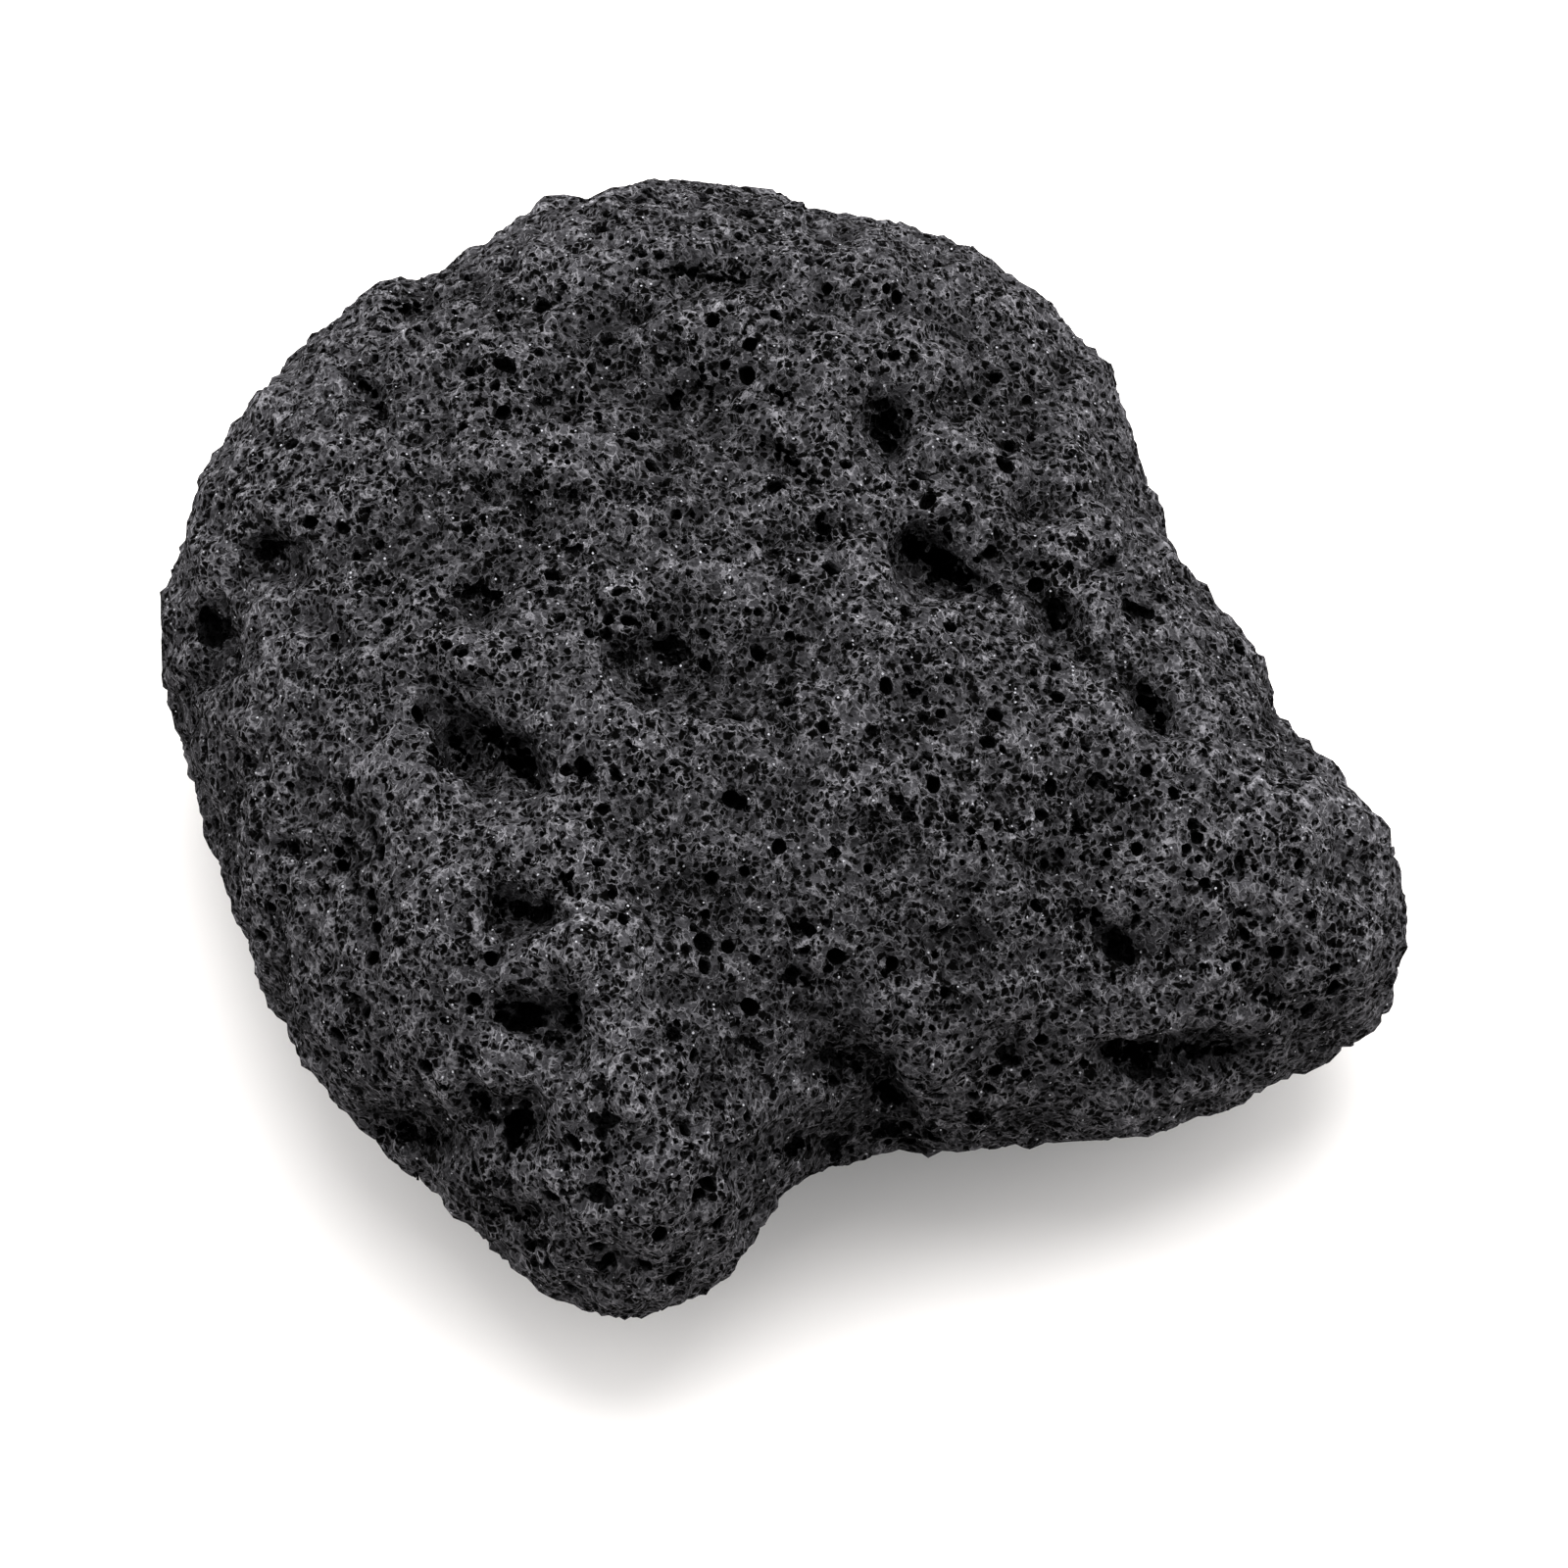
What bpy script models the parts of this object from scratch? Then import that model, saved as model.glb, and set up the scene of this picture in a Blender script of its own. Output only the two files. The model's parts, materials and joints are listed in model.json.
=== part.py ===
"""Lava rock: one loose, rounded block of vesicular basalt, about twice as wide as it is thick.

Metres, +Z up. The origin is the middle of the block's underside, and the block rests on z = 0
on the patch that wear has flattened there. X runs along its width and Y from its front to its back.

The outline and the marks of the show face are drawn on a board, which faces an eye in front of and
above the rock. Sizes on the board are millimetres from the rock's middle: right, then up.
"""

import math
import random
from collections import namedtuple

import bmesh
import bpy
import numpy as np
from mathutils import Vector, noise
from mathutils.bvhtree import BVHTree

MM = 0.001

# The block: its reach above and below its widest level, and how far in from the edge it rounds over.
CROWN = 25.0 * MM
BELLY = 20.0 * MM
ROUNDING = 44.0 * MM
CROWN_SQUARENESS = 2.4
BELLY_SQUARENESS = 2.6
# The crown leans: it falls towards the right and rises towards the back by this share of the way.
CROWN_FALL_RIGHT = 0.05
CROWN_RISE_BACK = 0.07
# Wear has taken this much off the lowest point of the belly.
WEAR = 1.4 * MM

# Lumps all over: how wide and how high, coarse and fine.
LUMPS = ((14.0 * MM, 1.6 * MM), (6.0 * MM, 0.9 * MM))

# The board: the eye looks down on the rock from the front, from this far away.
EYE_ELEVATION = math.radians(55.0)
EYE_RANGE = 600.0 * MM
# The board's centre, above the middle of the rock's underside before wear.
BOARD_HEIGHT = 20.0 * MM

OUTLINE = [
    (-8.7, 50.3), (0.0, 49.1), (5.2, 47.2), (9.6, 46.4), (14.8, 45.2), (20.0, 42.2), (24.3, 38.9),
    (28.3, 34.2), (30.0, 30.4), (31.7, 25.2), (33.2, 20.9), (34.3, 17.8), (37.0, 14.5), (40.2, 10.9),
    (42.6, 7.4), (43.4, 3.9), (45.4, 1.7), (50.4, -3.7), (53.0, -6.5), (54.8, -10.9), (55.2, -14.3),
    (54.8, -18.7), (53.5, -22.6), (52.0, -25.0), (48.7, -27.7), (43.5, -30.2), (33.0, -34.2),
    (27.8, -34.6), (17.4, -35.6), (9.1, -35.9), (4.3, -37.0), (0.7, -38.3), (-0.9, -40.4),
    (-2.6, -44.3), (-6.1, -47.8), (-9.6, -49.6), (-13.9, -50.3), (-18.3, -49.4), (-22.6, -47.2),
    (-29.6, -40.9), (-32.2, -37.8), (-36.1, -35.4), (-41.7, -28.7), (-46.8, -19.1), (-50.9, -7.4),
    (-54.6, 4.8), (-55.2, 9.1), (-55.0, 13.5), (-52.2, 21.3), (-51.1, 24.8), (-49.1, 28.3),
    (-41.7, 36.5), (-38.7, 38.0), (-37.6, 40.0), (-35.2, 41.8), (-32.2, 41.7), (-26.1, 45.2),
    (-22.2, 48.1), (-17.4, 49.1),
]

# A mark on the board: its middle, half its length and width, how far it is turned from level, its depth.
Mark = namedtuple("Mark", "right up length width turn depth")

# Broad hollows and, with a depth below nought, the swells between them.
SWELLS = [
    Mark(-26.0, 0.9, 8.5, 5.0, -25, 2.2),
    Mark(-9.6, 8.3, 5.6, 4.2, -15, 2.8),
    Mark(-9.3, 32.2, 5.0, 3.0, -40, 1.5),
    Mark(-19.6, 31.3, 4.5, 2.4, -10, 1.2),
    Mark(-8.3, 42.0, 5.0, 2.8, 10, 1.5),
    Mark(14.0, 17.0, 6.5, 4.0, -28, 1.6),
    Mark(9.5, 28.0, 4.5, 3.0, -75, 1.4),
    Mark(23.5, 14.0, 6.5, 3.0, -50, 1.5),
    Mark(32.0, 4.0, 5.0, 2.6, -60, 1.2),
    Mark(28.8, -5.0, 6.0, 3.0, -25, 1.0),
    Mark(29.5, -17.0, 4.6, 3.0, -25, 1.2),
    Mark(-21.5, -23.6, 6.0, 3.6, 0, 1.8),
    Mark(-22.6, -14.8, 5.0, 3.0, -15, 1.2),
    Mark(-25.0, -33.5, 5.0, 4.0, 0, 1.8),
    Mark(-34.0, -33.6, 6.0, 3.0, -15, 1.6),
    Mark(-50.0, 11.0, 4.5, 3.0, -80, 1.8),
    Mark(-45.0, 17.5, 4.5, 2.6, 10, 1.3),
    Mark(7.0, -28.5, 6.5, 3.4, -40, 1.8),
    Mark(5.5, -35.0, 7.5, 2.4, 6, 2.2),
    Mark(36.0, -27.6, 9.0, 2.2, 3, 1.8),
    Mark(-27.8, 8.0, 5.0, 3.0, 0, -1.2),
    Mark(-32.0, -12.0, 12.0, 3.0, -85, -1.2),
    Mark(-16.5, -17.0, 8.0, 3.0, -70, -1.5),
    Mark(-13.0, -33.0, 9.0, 3.4, -80, -1.6),
    Mark(13.0, 33.5, 4.0, 2.6, 0, -1.2),
    Mark(11.0, -22.0, 8.0, 3.0, -60, -1.0),
    Mark(27.0, 16.5, 5.0, 2.0, -65, -1.0),
    Mark(-38.0, 25.0, 7.0, 3.0, -10, -1.0),
    Mark(-21.0, 25.5, 6.0, 2.2, -5, -0.9),
    Mark(36.0, -10.0, 8.0, 4.0, -30, -1.0),
]

# Torn hollows where several bubbles ran together, with steeper sides.
HOLLOWS = [
    Mark(-28.0, 0.0, 3.8, 2.0, -55, 3.4),
    Mark(-23.0, -1.1, 3.2, 1.8, -62, 3.8),
    Mark(13.5, 16.5, 4.2, 2.3, -28, 3.8),
    Mark(9.0, 28.7, 3.2, 1.7, -75, 3.2),
    Mark(-1.0, 26.4, 3.2, 1.3, -45, 1.8),
    Mark(3.3, 19.7, 2.1, 1.3, -85, 1.6),
    Mark(-36.5, 31.3, 2.8, 1.3, -50, 2.0),
    Mark(-33.0, 39.4, 2.5, 1.4, 0, 2.0),
    Mark(-21.7, 22.6, 5.4, 1.2, -4, 1.0),
    Mark(-22.3, 19.6, 3.6, 1.2, 90, 1.0),
    Mark(-27.4, 13.7, 2.8, 1.3, -8, 1.5),
    Mark(-45.2, 17.8, 3.0, 1.5, 10, 1.6),
    Mark(-50.6, 10.4, 3.2, 1.8, -80, 2.2),
    Mark(24.2, 11.6, 2.2, 1.8, -60, 2.4),
    Mark(31.3, 12.4, 3.0, 1.4, -35, 1.5),
    Mark(32.6, 3.2, 3.6, 1.5, -62, 2.2),
    Mark(-22.6, -14.8, 3.2, 1.6, -20, 2.2),
    Mark(-23.5, -23.6, 3.2, 1.9, -5, 2.8),
    Mark(-19.0, -23.9, 2.5, 1.6, 90, 2.4),
    Mark(-27.0, -31.7, 2.8, 1.3, -60, 1.8),
    Mark(-23.7, -33.7, 3.1, 1.7, 75, 2.8),
    Mark(-33.0, -34.3, 4.4, 1.7, -10, 1.4),
    Mark(-22.6, -41.7, 3.8, 1.5, -10, 1.4),
    Mark(10.0, -31.0, 3.4, 1.3, -55, 1.6),
    Mark(34.8, -27.3, 6.8, 1.5, 3, 2.6),
    Mark(43.0, -22.2, 3.2, 1.4, -20, 1.6),
    Mark(29.7, -17.5, 2.7, 1.7, -20, 1.8),
]
# The same on the sides that the board doesn't show: how many, half their length, and their depth's share of it.
REAR_HOLLOWS = 90
REAR_HOLLOW_LENGTH = (3.0 * MM, 7.0 * MM)
REAR_HOLLOW_STRETCH = 1.7
REAR_HOLLOW_DEPTH_SHARE = 0.42

# A vesicle on the board: its middle and its radius.
Vesicle = namedtuple("Vesicle", "right up radius")
VESICLES = [
    Vesicle(11.0, 29.6, 0.9), Vesicle(-9.6, 30.6, 1.1), Vesicle(-4.3, 42.0, 1.1), Vesicle(2.2, 23.7, 1.2),
    Vesicle(5.5, 19.8, 0.9), Vesicle(-18.4, 30.8, 1.0), Vesicle(-16.3, 29.1, 1.1), Vesicle(-24.8, 29.8, 1.0),
    Vesicle(-3.0, 35.9, 1.0), Vesicle(-5.2, 34.1, 0.9), Vesicle(-18.7, 18.0, 1.1), Vesicle(-36.3, 15.0, 1.2),
    Vesicle(-35.8, 18.0, 0.9), Vesicle(-32.6, 3.0, 1.1), Vesicle(-10.4, 8.6, 1.4), Vesicle(24.8, 16.0, 1.1),
    Vesicle(11.5, 23.4, 0.9), Vesicle(19.6, 25.2, 1.0), Vesicle(14.1, 20.1, 0.9), Vesicle(-19.2, -11.8, 1.1),
    Vesicle(-16.1, -5.6, 1.0), Vesicle(-18.3, -1.8, 1.4), Vesicle(-26.1, -18.8, 1.0), Vesicle(-40.6, -27.1, 1.2),
    Vesicle(-37.0, -23.4, 1.1), Vesicle(-16.3, -39.8, 1.3), Vesicle(-20.3, -39.8, 1.0), Vesicle(-15.7, -33.6, 1.2),
    Vesicle(-3.9, -5.0, 1.0), Vesicle(-3.5, -11.0, 1.0), Vesicle(1.3, -15.9, 1.3), Vesicle(0.5, -20.3, 1.2),
    Vesicle(3.9, -19.6, 0.9), Vesicle(9.6, -19.2, 1.0), Vesicle(30.0, -4.4, 1.2), Vesicle(27.6, -2.9, 0.9),
    Vesicle(22.8, -5.9, 1.0), Vesicle(32.2, -2.0, 1.0), Vesicle(24.3, 4.5, 1.1), Vesicle(31.5, -12.9, 0.9),
    Vesicle(28.7, -9.5, 0.9), Vesicle(43.7, -18.1, 1.2), Vesicle(40.2, -19.5, 1.0), Vesicle(47.0, -14.9, 0.9),
    Vesicle(40.9, -15.3, 1.0), Vesicle(46.5, -23.1, 1.2), Vesicle(-9.8, -25.5, 1.1), Vesicle(18.3, -30.3, 0.9),
    Vesicle(9.2, -30.2, 1.2), Vesicle(17.0, -33.1, 1.1), Vesicle(40.4, -10.5, 0.9), Vesicle(41.0, -5.5, 0.9),
    Vesicle(-36.7, 39.0, 0.8), Vesicle(-24.6, 42.5, 0.9), Vesicle(-11.0, 43.8, 0.9), Vesicle(-45.3, 26.0, 0.9),
    Vesicle(-48.7, 22.8, 0.9), Vesicle(-10.7, 18.9, 0.9), Vesicle(3.9, 36.6, 0.9), Vesicle(6.7, 33.7, 0.9),
    Vesicle(9.8, 34.9, 1.1), Vesicle(11.3, 5.1, 1.2), Vesicle(13.9, 3.0, 0.9), Vesicle(7.8, 1.5, 0.9),
    Vesicle(3.5, 1.9, 0.9), Vesicle(-2.4, 12.1, 0.8), Vesicle(0.1, 12.3, 0.9), Vesicle(5.7, 9.0, 0.8),
    Vesicle(-47.6, -1.0, 0.9), Vesicle(-45.8, -3.8, 1.0), Vesicle(-36.5, -13.1, 1.1), Vesicle(-39.1, -10.5, 1.0),
    Vesicle(10.4, -5.1, 1.0), Vesicle(16.1, -26.9, 0.9), Vesicle(19.4, -26.9, 0.9), Vesicle(-13.0, 33.9, 0.8),
]
# The same on the other sides: how many places are tried, and how large they are.
REAR_VESICLES = 126
REAR_VESICLE_RADIUS = (0.9 * MM, 1.5 * MM)
# A bubble's centre stands proud of the skin by this share of its radius.
VESICLE_PROUD = 0.2
VESICLE_SIDES = 7
VESICLE_RINGS = 4
# No vesicle is nearer than this to the middle of the worn patch.
PATCH_CLEAR = 7.0 * MM
SEED = 11

SPHERE_SUBDIVISIONS = 7
SKIN_FACETS = 4500

RIGHT = np.array([1.0, 0.0, 0.0])
UP = np.array([0.0, math.sin(EYE_ELEVATION), math.cos(EYE_ELEVATION)])
TOWARDS_EYE = np.array([0.0, -math.cos(EYE_ELEVATION), math.sin(EYE_ELEVATION)])
GOLDEN_ANGLE = math.pi * (3 - math.sqrt(5))


def clear_scene():
    for item in list(bpy.data.objects):
        bpy.data.objects.remove(item, do_unlink=True)


def closed_curve(corners, steps):
    """A smooth closed line through the corners, with this many steps from each corner to the next."""
    corners = np.array(corners)
    before, after, beyond = (np.roll(corners, shift, axis=0) for shift in (1, -1, -2))
    share = (np.arange(steps) / steps)[:, None, None]
    line = 0.5 * (
        2 * corners
        + (after - before) * share
        + (2 * before - 5 * corners + 4 * after - beyond) * share**2
        + (3 * corners - before - 3 * after + beyond) * share**3
    )
    return line.transpose(1, 0, 2).reshape(-1, 2)


def softened(line, passes):
    """The line with its small corners rubbed off."""
    for _ in range(passes):
        line = (np.roll(line, 1, axis=0) + 2 * line + np.roll(line, -1, axis=0)) / 4
    return line


def reach_by_angle(line, angles):
    """How far a closed line round the origin reaches in each direction."""
    heading = np.arctan2(line[:, 1], line[:, 0])
    order = np.argsort(heading)
    return np.interp(angles, heading[order], np.hypot(*line.T)[order], period=2 * math.pi)


def laid_down(line):
    """The board's outline laid down as the plan of the rock's widest level.

    From above the horizon, a thick block is seen to reach past its widest level at the front and back.
    """
    normal = np.roll(line, 1, axis=0) - np.roll(line, -1, axis=0)
    normal = np.column_stack([-normal[:, 1], normal[:, 0]])
    normal *= np.sign(np.sum(normal * line)) / np.hypot(*normal.T)[:, None]
    past = np.zeros(len(line))
    for side, height, squareness in ((1, CROWN, CROWN_SQUARENESS), (-1, BELLY, BELLY_SQUARENESS)):
        power = squareness / (squareness - 1)
        depth = ROUNDING * math.sin(EYE_ELEVATION)
        seen = (depth**power + (height * math.cos(EYE_ELEVATION)) ** power) ** (1 / power) - depth
        past = np.where(normal[:, 1] * side > 0, seen, past)
    flat = line.copy()
    flat[:, 1] = (line[:, 1] - past * normal[:, 1]) / math.sin(EYE_ELEVATION)
    return flat


def on_board(points):
    """Where the eye sees these points on the board: right, up."""
    offset = points - np.array([0.0, 0.0, BOARD_HEIGHT])
    scale = EYE_RANGE / (EYE_RANGE - offset @ TOWARDS_EYE)
    return np.column_stack([offset @ RIGHT, offset @ UP]) * scale[:, None]


def distance_to(line, places):
    """How far each place lies from the closed line."""
    nearest = np.concatenate([
        ((part[:, None] - line[None]) ** 2).sum(axis=2).argmin(axis=1) for part in np.array_split(places, 64)
    ])
    gaps = []
    for step in (-1, 1):
        start = line[nearest]
        run = line[(nearest + step) % len(line)] - start
        share = np.clip(np.sum((places - start) * run, axis=1) / np.sum(run * run, axis=1), 0, 1)
        gaps.append(np.linalg.norm(start + run * share[:, None] - places, axis=1))
    return np.minimum(*gaps)


def pillow(directions, plan):
    """The block without its marks: the plan's outline, rounded over above and below from its edge in."""
    angles = np.arctan2(directions[:, 1], directions[:, 0])
    level = np.hypot(directions[:, 0], directions[:, 1])
    above = directions[:, 2] > 0
    squareness = np.where(above, CROWN_SQUARENESS, BELLY_SQUARENESS)
    reach = reach_by_angle(plan, angles) * level ** (2 / squareness)
    place = np.column_stack([reach * np.cos(angles), reach * np.sin(angles)])
    inwards = np.clip(distance_to(plan, place) / ROUNDING, 0, 1)
    height = (1 - (1 - inwards) ** squareness) ** (1 / squareness)
    crown = CROWN + CROWN_RISE_BACK * place[:, 1] - CROWN_FALL_RIGHT * place[:, 0]
    height = height * np.where(above, crown, -BELLY)
    return np.column_stack([place, height + BELLY])


def drawn_to(points, line, hold):
    """The points moved along the board, so that the eye sees the rock's edge on the line.

    The higher the hold, the nearer to the edge the rock is moved.
    """
    seen = on_board(points)
    angles = np.arctan2(seen[:, 1], seen[:, 0])
    reach = np.hypot(*seen.T)
    bins = 240
    place = np.floor((angles + math.pi) / (2 * math.pi) * bins).astype(int) % bins
    edge = np.zeros(bins)
    np.maximum.at(edge, place, reach)
    middles = (np.arange(bins) + 0.5) / bins * 2 * math.pi - math.pi
    stretch = np.interp(angles, middles, reach_by_angle(line, middles) / edge, period=2 * math.pi)
    rim = np.interp(angles, middles, edge, period=2 * math.pi)
    moved = seen * ((stretch - 1) * np.clip(reach / rim, 0, 1) ** hold)[:, None]
    return points + moved[:, :1] * RIGHT + moved[:, 1:] * UP


def put(mesh, points):
    mesh.vertices.foreach_set("co", points.astype(np.float32).ravel())
    mesh.update()


def normals_of(mesh, points):
    put(mesh, points)
    found = np.empty(len(points) * 3)
    mesh.vertex_normals.foreach_get("vector", found)
    return found.reshape(-1, 3)


def relaxed(mesh, points, passes):
    """The points drawn towards the middle of their neighbours, which evens out squeezed faces."""
    ends = np.empty(len(mesh.edges) * 2, dtype=int)
    mesh.edges.foreach_get("vertices", ends)
    ends = ends.reshape(-1, 2)
    start, end = np.concatenate([ends, ends[:, ::-1]]).T
    neighbours = np.bincount(start, minlength=len(points))[:, None]
    for _ in range(passes):
        total = np.column_stack([
            np.bincount(start, weights=points[end, axis], minlength=len(points)) for axis in range(3)
        ])
        points = (points + total / neighbours) / 2
    return points


def lumpy(mesh, points):
    """The points moved along their normals by smooth noise."""
    normals = normals_of(mesh, points)
    height = np.zeros(len(points))
    for width, rise in LUMPS:
        height += [rise * noise.noise(Vector(point / width)) for point in points]
    return points + normals * height[:, None]


def press_marks(mesh, points, marks, steepness):
    """Each mark pushed in along the rock's own normals, as drawn on the board."""
    normals = normals_of(mesh, points)
    seen = on_board(points)
    facing = np.clip((normals @ TOWARDS_EYE) * 4, 0, 1)
    depth = np.zeros(len(points))
    for mark in marks:
        turn = math.radians(mark.turn)
        offset = seen - np.array([mark.right, mark.up]) * MM
        along = (offset[:, 0] * math.cos(turn) + offset[:, 1] * math.sin(turn)) / (mark.length * MM)
        across = (offset[:, 1] * math.cos(turn) - offset[:, 0] * math.sin(turn)) / (mark.width * MM)
        depth += mark.depth * MM * np.exp(-((along**2 + across**2) ** steepness))
    return points - normals * (depth * facing)[:, None]


def all_round(count, chance):
    """Directions spread over all sides, each a little off its even place."""
    for step in range(count):
        height = 1 - 2 * (step + chance.random()) / count
        turn = (step + chance.uniform(-0.12, 0.12)) * GOLDEN_ANGLE
        level = math.sqrt(1 - height**2)
        yield np.array([level * math.cos(turn), level * math.sin(turn), height])


def place_towards(points, direction):
    """The point that lies furthest in this direction from the middle of the block."""
    spread = points - np.array([0.0, 0.0, BELLY])
    return int(np.argmax((spread @ direction) / np.linalg.norm(spread, axis=1)))


def press_rear_hollows(mesh, points, chance):
    """Torn hollows on the sides that the board doesn't show."""
    normals = normals_of(mesh, points)
    depth = np.zeros(len(points))
    for direction in all_round(REAR_HOLLOWS, chance):
        length = chance.uniform(*REAR_HOLLOW_LENGTH)
        turn = chance.uniform(0, math.pi)
        place = place_towards(points, direction)
        normal = normals[place]
        if normal @ TOWARDS_EYE > 0.15 or normal[2] < -0.9:
            continue
        side = np.cross(normal, (0.0, 0.0, 1.0))
        side /= np.linalg.norm(side)
        along = side * math.cos(turn) + np.cross(normal, side) * math.sin(turn)
        offset = points - points[place]
        reach = offset @ along
        near = (np.sum(offset**2, axis=1) - reach**2) * REAR_HOLLOW_STRETCH**2 + reach**2
        depth = np.maximum(depth, length * REAR_HOLLOW_DEPTH_SHARE * np.exp(-((near / length**2) ** 1.2)))
    return points - normals * depth[:, None]


def worn_flat(points):
    """The underside cut flat by wear where it is lowest."""
    points = points.copy()
    points[:, 2] = np.maximum(points[:, 2], points[:, 2].min() + WEAR)
    return points


def basalt():
    finish = bpy.data.materials.new("basalt")
    finish.use_nodes = True
    surface = finish.node_tree.nodes["Principled BSDF"]
    surface.inputs["Base Color"].default_value = (0.045, 0.045, 0.048, 1.0)
    surface.inputs["Roughness"].default_value = 0.85
    surface.inputs["Metallic"].default_value = 0.0
    return finish


def vesicle_places(mesh, points, shift, chance):
    """Where bubbles broke the skin: place, outward normal, radius."""
    tree = BVHTree.FromPolygons([tuple(point) for point in points], [tuple(face.vertices) for face in mesh.polygons])
    normals = normals_of(mesh, points)
    centre = np.array([0.0, 0.0, BOARD_HEIGHT]) + shift
    eye = centre + TOWARDS_EYE * EYE_RANGE
    found = []
    for vesicle in VESICLES:
        target = centre + (vesicle.right * RIGHT + vesicle.up * UP) * MM
        spot, normal, _, _ = tree.ray_cast(Vector(eye), Vector(target - eye))
        if spot is not None:
            found.append((np.array(spot), np.array(normal), vesicle.radius * MM))
    for direction in all_round(REAR_VESICLES, chance):
        radius = chance.uniform(*REAR_VESICLE_RADIUS)
        place = place_towards(points, direction)
        if normals[place] @ TOWARDS_EYE < 0.1:
            found.append((points[place], normals[place], radius))
    kept = []
    for spot, normal, radius in found:
        apart = all(np.linalg.norm(spot - other) > radius + size + 0.4 * MM for other, _, size in kept)
        if apart and np.linalg.norm(spot) > PATCH_CLEAR:
            kept.append((spot, normal, radius))
    return kept


def bubbles(places):
    """One cutter that holds every bubble."""
    form = bmesh.new()
    for spot, normal, radius in places:
        stand = Vector(normal).to_track_quat("Z", "Y").to_matrix().to_4x4()
        stand.translation = Vector(spot + normal * radius * VESICLE_PROUD)
        bmesh.ops.create_uvsphere(
            form, u_segments=VESICLE_SIDES, v_segments=VESICLE_RINGS, radius=radius, matrix=stand
        )
    mesh = bpy.data.meshes.new("bubbles")
    form.to_mesh(mesh)
    form.free()
    cutter = bpy.data.objects.new("bubbles", mesh)
    bpy.context.collection.objects.link(cutter)
    cutter.hide_render = True
    cutter.display_type = "WIRE"
    return cutter


def lava_rock():
    bpy.ops.mesh.primitive_ico_sphere_add(subdivisions=SPHERE_SUBDIVISIONS, radius=1.0)
    rock = bpy.context.object
    rock.name = rock.data.name = "lava_rock"
    mesh = rock.data
    directions = np.empty(len(mesh.vertices) * 3)
    mesh.vertices.foreach_get("co", directions)
    directions = directions.reshape(-1, 3)
    directions /= np.linalg.norm(directions, axis=1)[:, None]

    chance = random.Random(SEED)
    outline = closed_curve(OUTLINE, 8) * MM
    points = relaxed(mesh, pillow(directions, laid_down(softened(outline, 60))), 30)
    points = drawn_to(points, softened(outline, 60), 3)
    points = lumpy(mesh, points)
    points = press_marks(mesh, points, SWELLS, 1.0)
    points = press_rear_hollows(mesh, points, chance)
    points = drawn_to(relaxed(mesh, points, 4), outline, 8)
    points = press_marks(mesh, points, HOLLOWS, 1.6)
    points = worn_flat(points)
    shift = -(points.max(axis=0) + points.min(axis=0)) / 2
    shift[2] = -points[:, 2].min()
    points = points + shift
    places = vesicle_places(mesh, points, shift, chance)
    put(mesh, points)
    mesh.shade_smooth()
    mesh.materials.append(basalt())

    thin = rock.modifiers.new("Facets", "DECIMATE")
    thin.ratio = SKIN_FACETS / len(mesh.polygons)
    cut = rock.modifiers.new("Vesicles", "BOOLEAN")
    cut.object = bubbles(places)
    cut.operation = "DIFFERENCE"
    cut.solver = "EXACT"
    return rock


clear_scene()
lava_rock()
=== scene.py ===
"""Dresses the lava rock's solid: smoothed and roughened skin, torn hollows, open vesicles, basalt finish, and
the stage.
"""

import json
import math

import bpy
import numpy as np
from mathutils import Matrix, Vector, noise
from mathutils.bvhtree import BVHTree
from mathutils.kdtree import KDTree

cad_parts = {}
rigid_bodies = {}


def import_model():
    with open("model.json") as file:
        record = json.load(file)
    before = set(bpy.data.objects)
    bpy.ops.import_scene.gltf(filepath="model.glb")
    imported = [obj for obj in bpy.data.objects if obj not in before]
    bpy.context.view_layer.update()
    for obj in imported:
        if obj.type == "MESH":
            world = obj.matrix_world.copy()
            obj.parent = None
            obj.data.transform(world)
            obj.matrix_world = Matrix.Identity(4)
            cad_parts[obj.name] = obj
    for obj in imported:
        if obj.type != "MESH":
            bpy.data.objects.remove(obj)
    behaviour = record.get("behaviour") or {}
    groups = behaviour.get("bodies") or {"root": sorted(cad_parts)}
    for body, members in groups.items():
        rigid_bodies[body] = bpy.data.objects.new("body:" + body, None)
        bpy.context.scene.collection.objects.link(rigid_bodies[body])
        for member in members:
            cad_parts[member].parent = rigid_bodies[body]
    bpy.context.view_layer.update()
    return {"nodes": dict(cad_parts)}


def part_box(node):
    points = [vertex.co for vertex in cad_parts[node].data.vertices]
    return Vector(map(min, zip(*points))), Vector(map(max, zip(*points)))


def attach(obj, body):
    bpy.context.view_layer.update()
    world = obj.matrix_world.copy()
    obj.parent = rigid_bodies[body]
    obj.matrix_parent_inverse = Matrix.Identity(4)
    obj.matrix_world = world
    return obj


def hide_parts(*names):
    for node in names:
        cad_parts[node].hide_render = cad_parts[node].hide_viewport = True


bl_info = {
    "name": "Lava Rock",
    "version": (1, 0, 0),
    "blender": (4, 5, 0),
    "location": "3D View > Sidebar > Lava Rock",
    "description": "Dresses the lava rock's solid with its vesicles and basalt, and sets the stage",
    "category": "Object",
}

MM = 0.001
NODE = "lava_rock"
SEED = 23
SKIN_TRIANGLES = 194000
TRIANGLE_LIMIT = 200000

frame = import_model()
LOW, HIGH = (np.array(corner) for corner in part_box(NODE))

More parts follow.
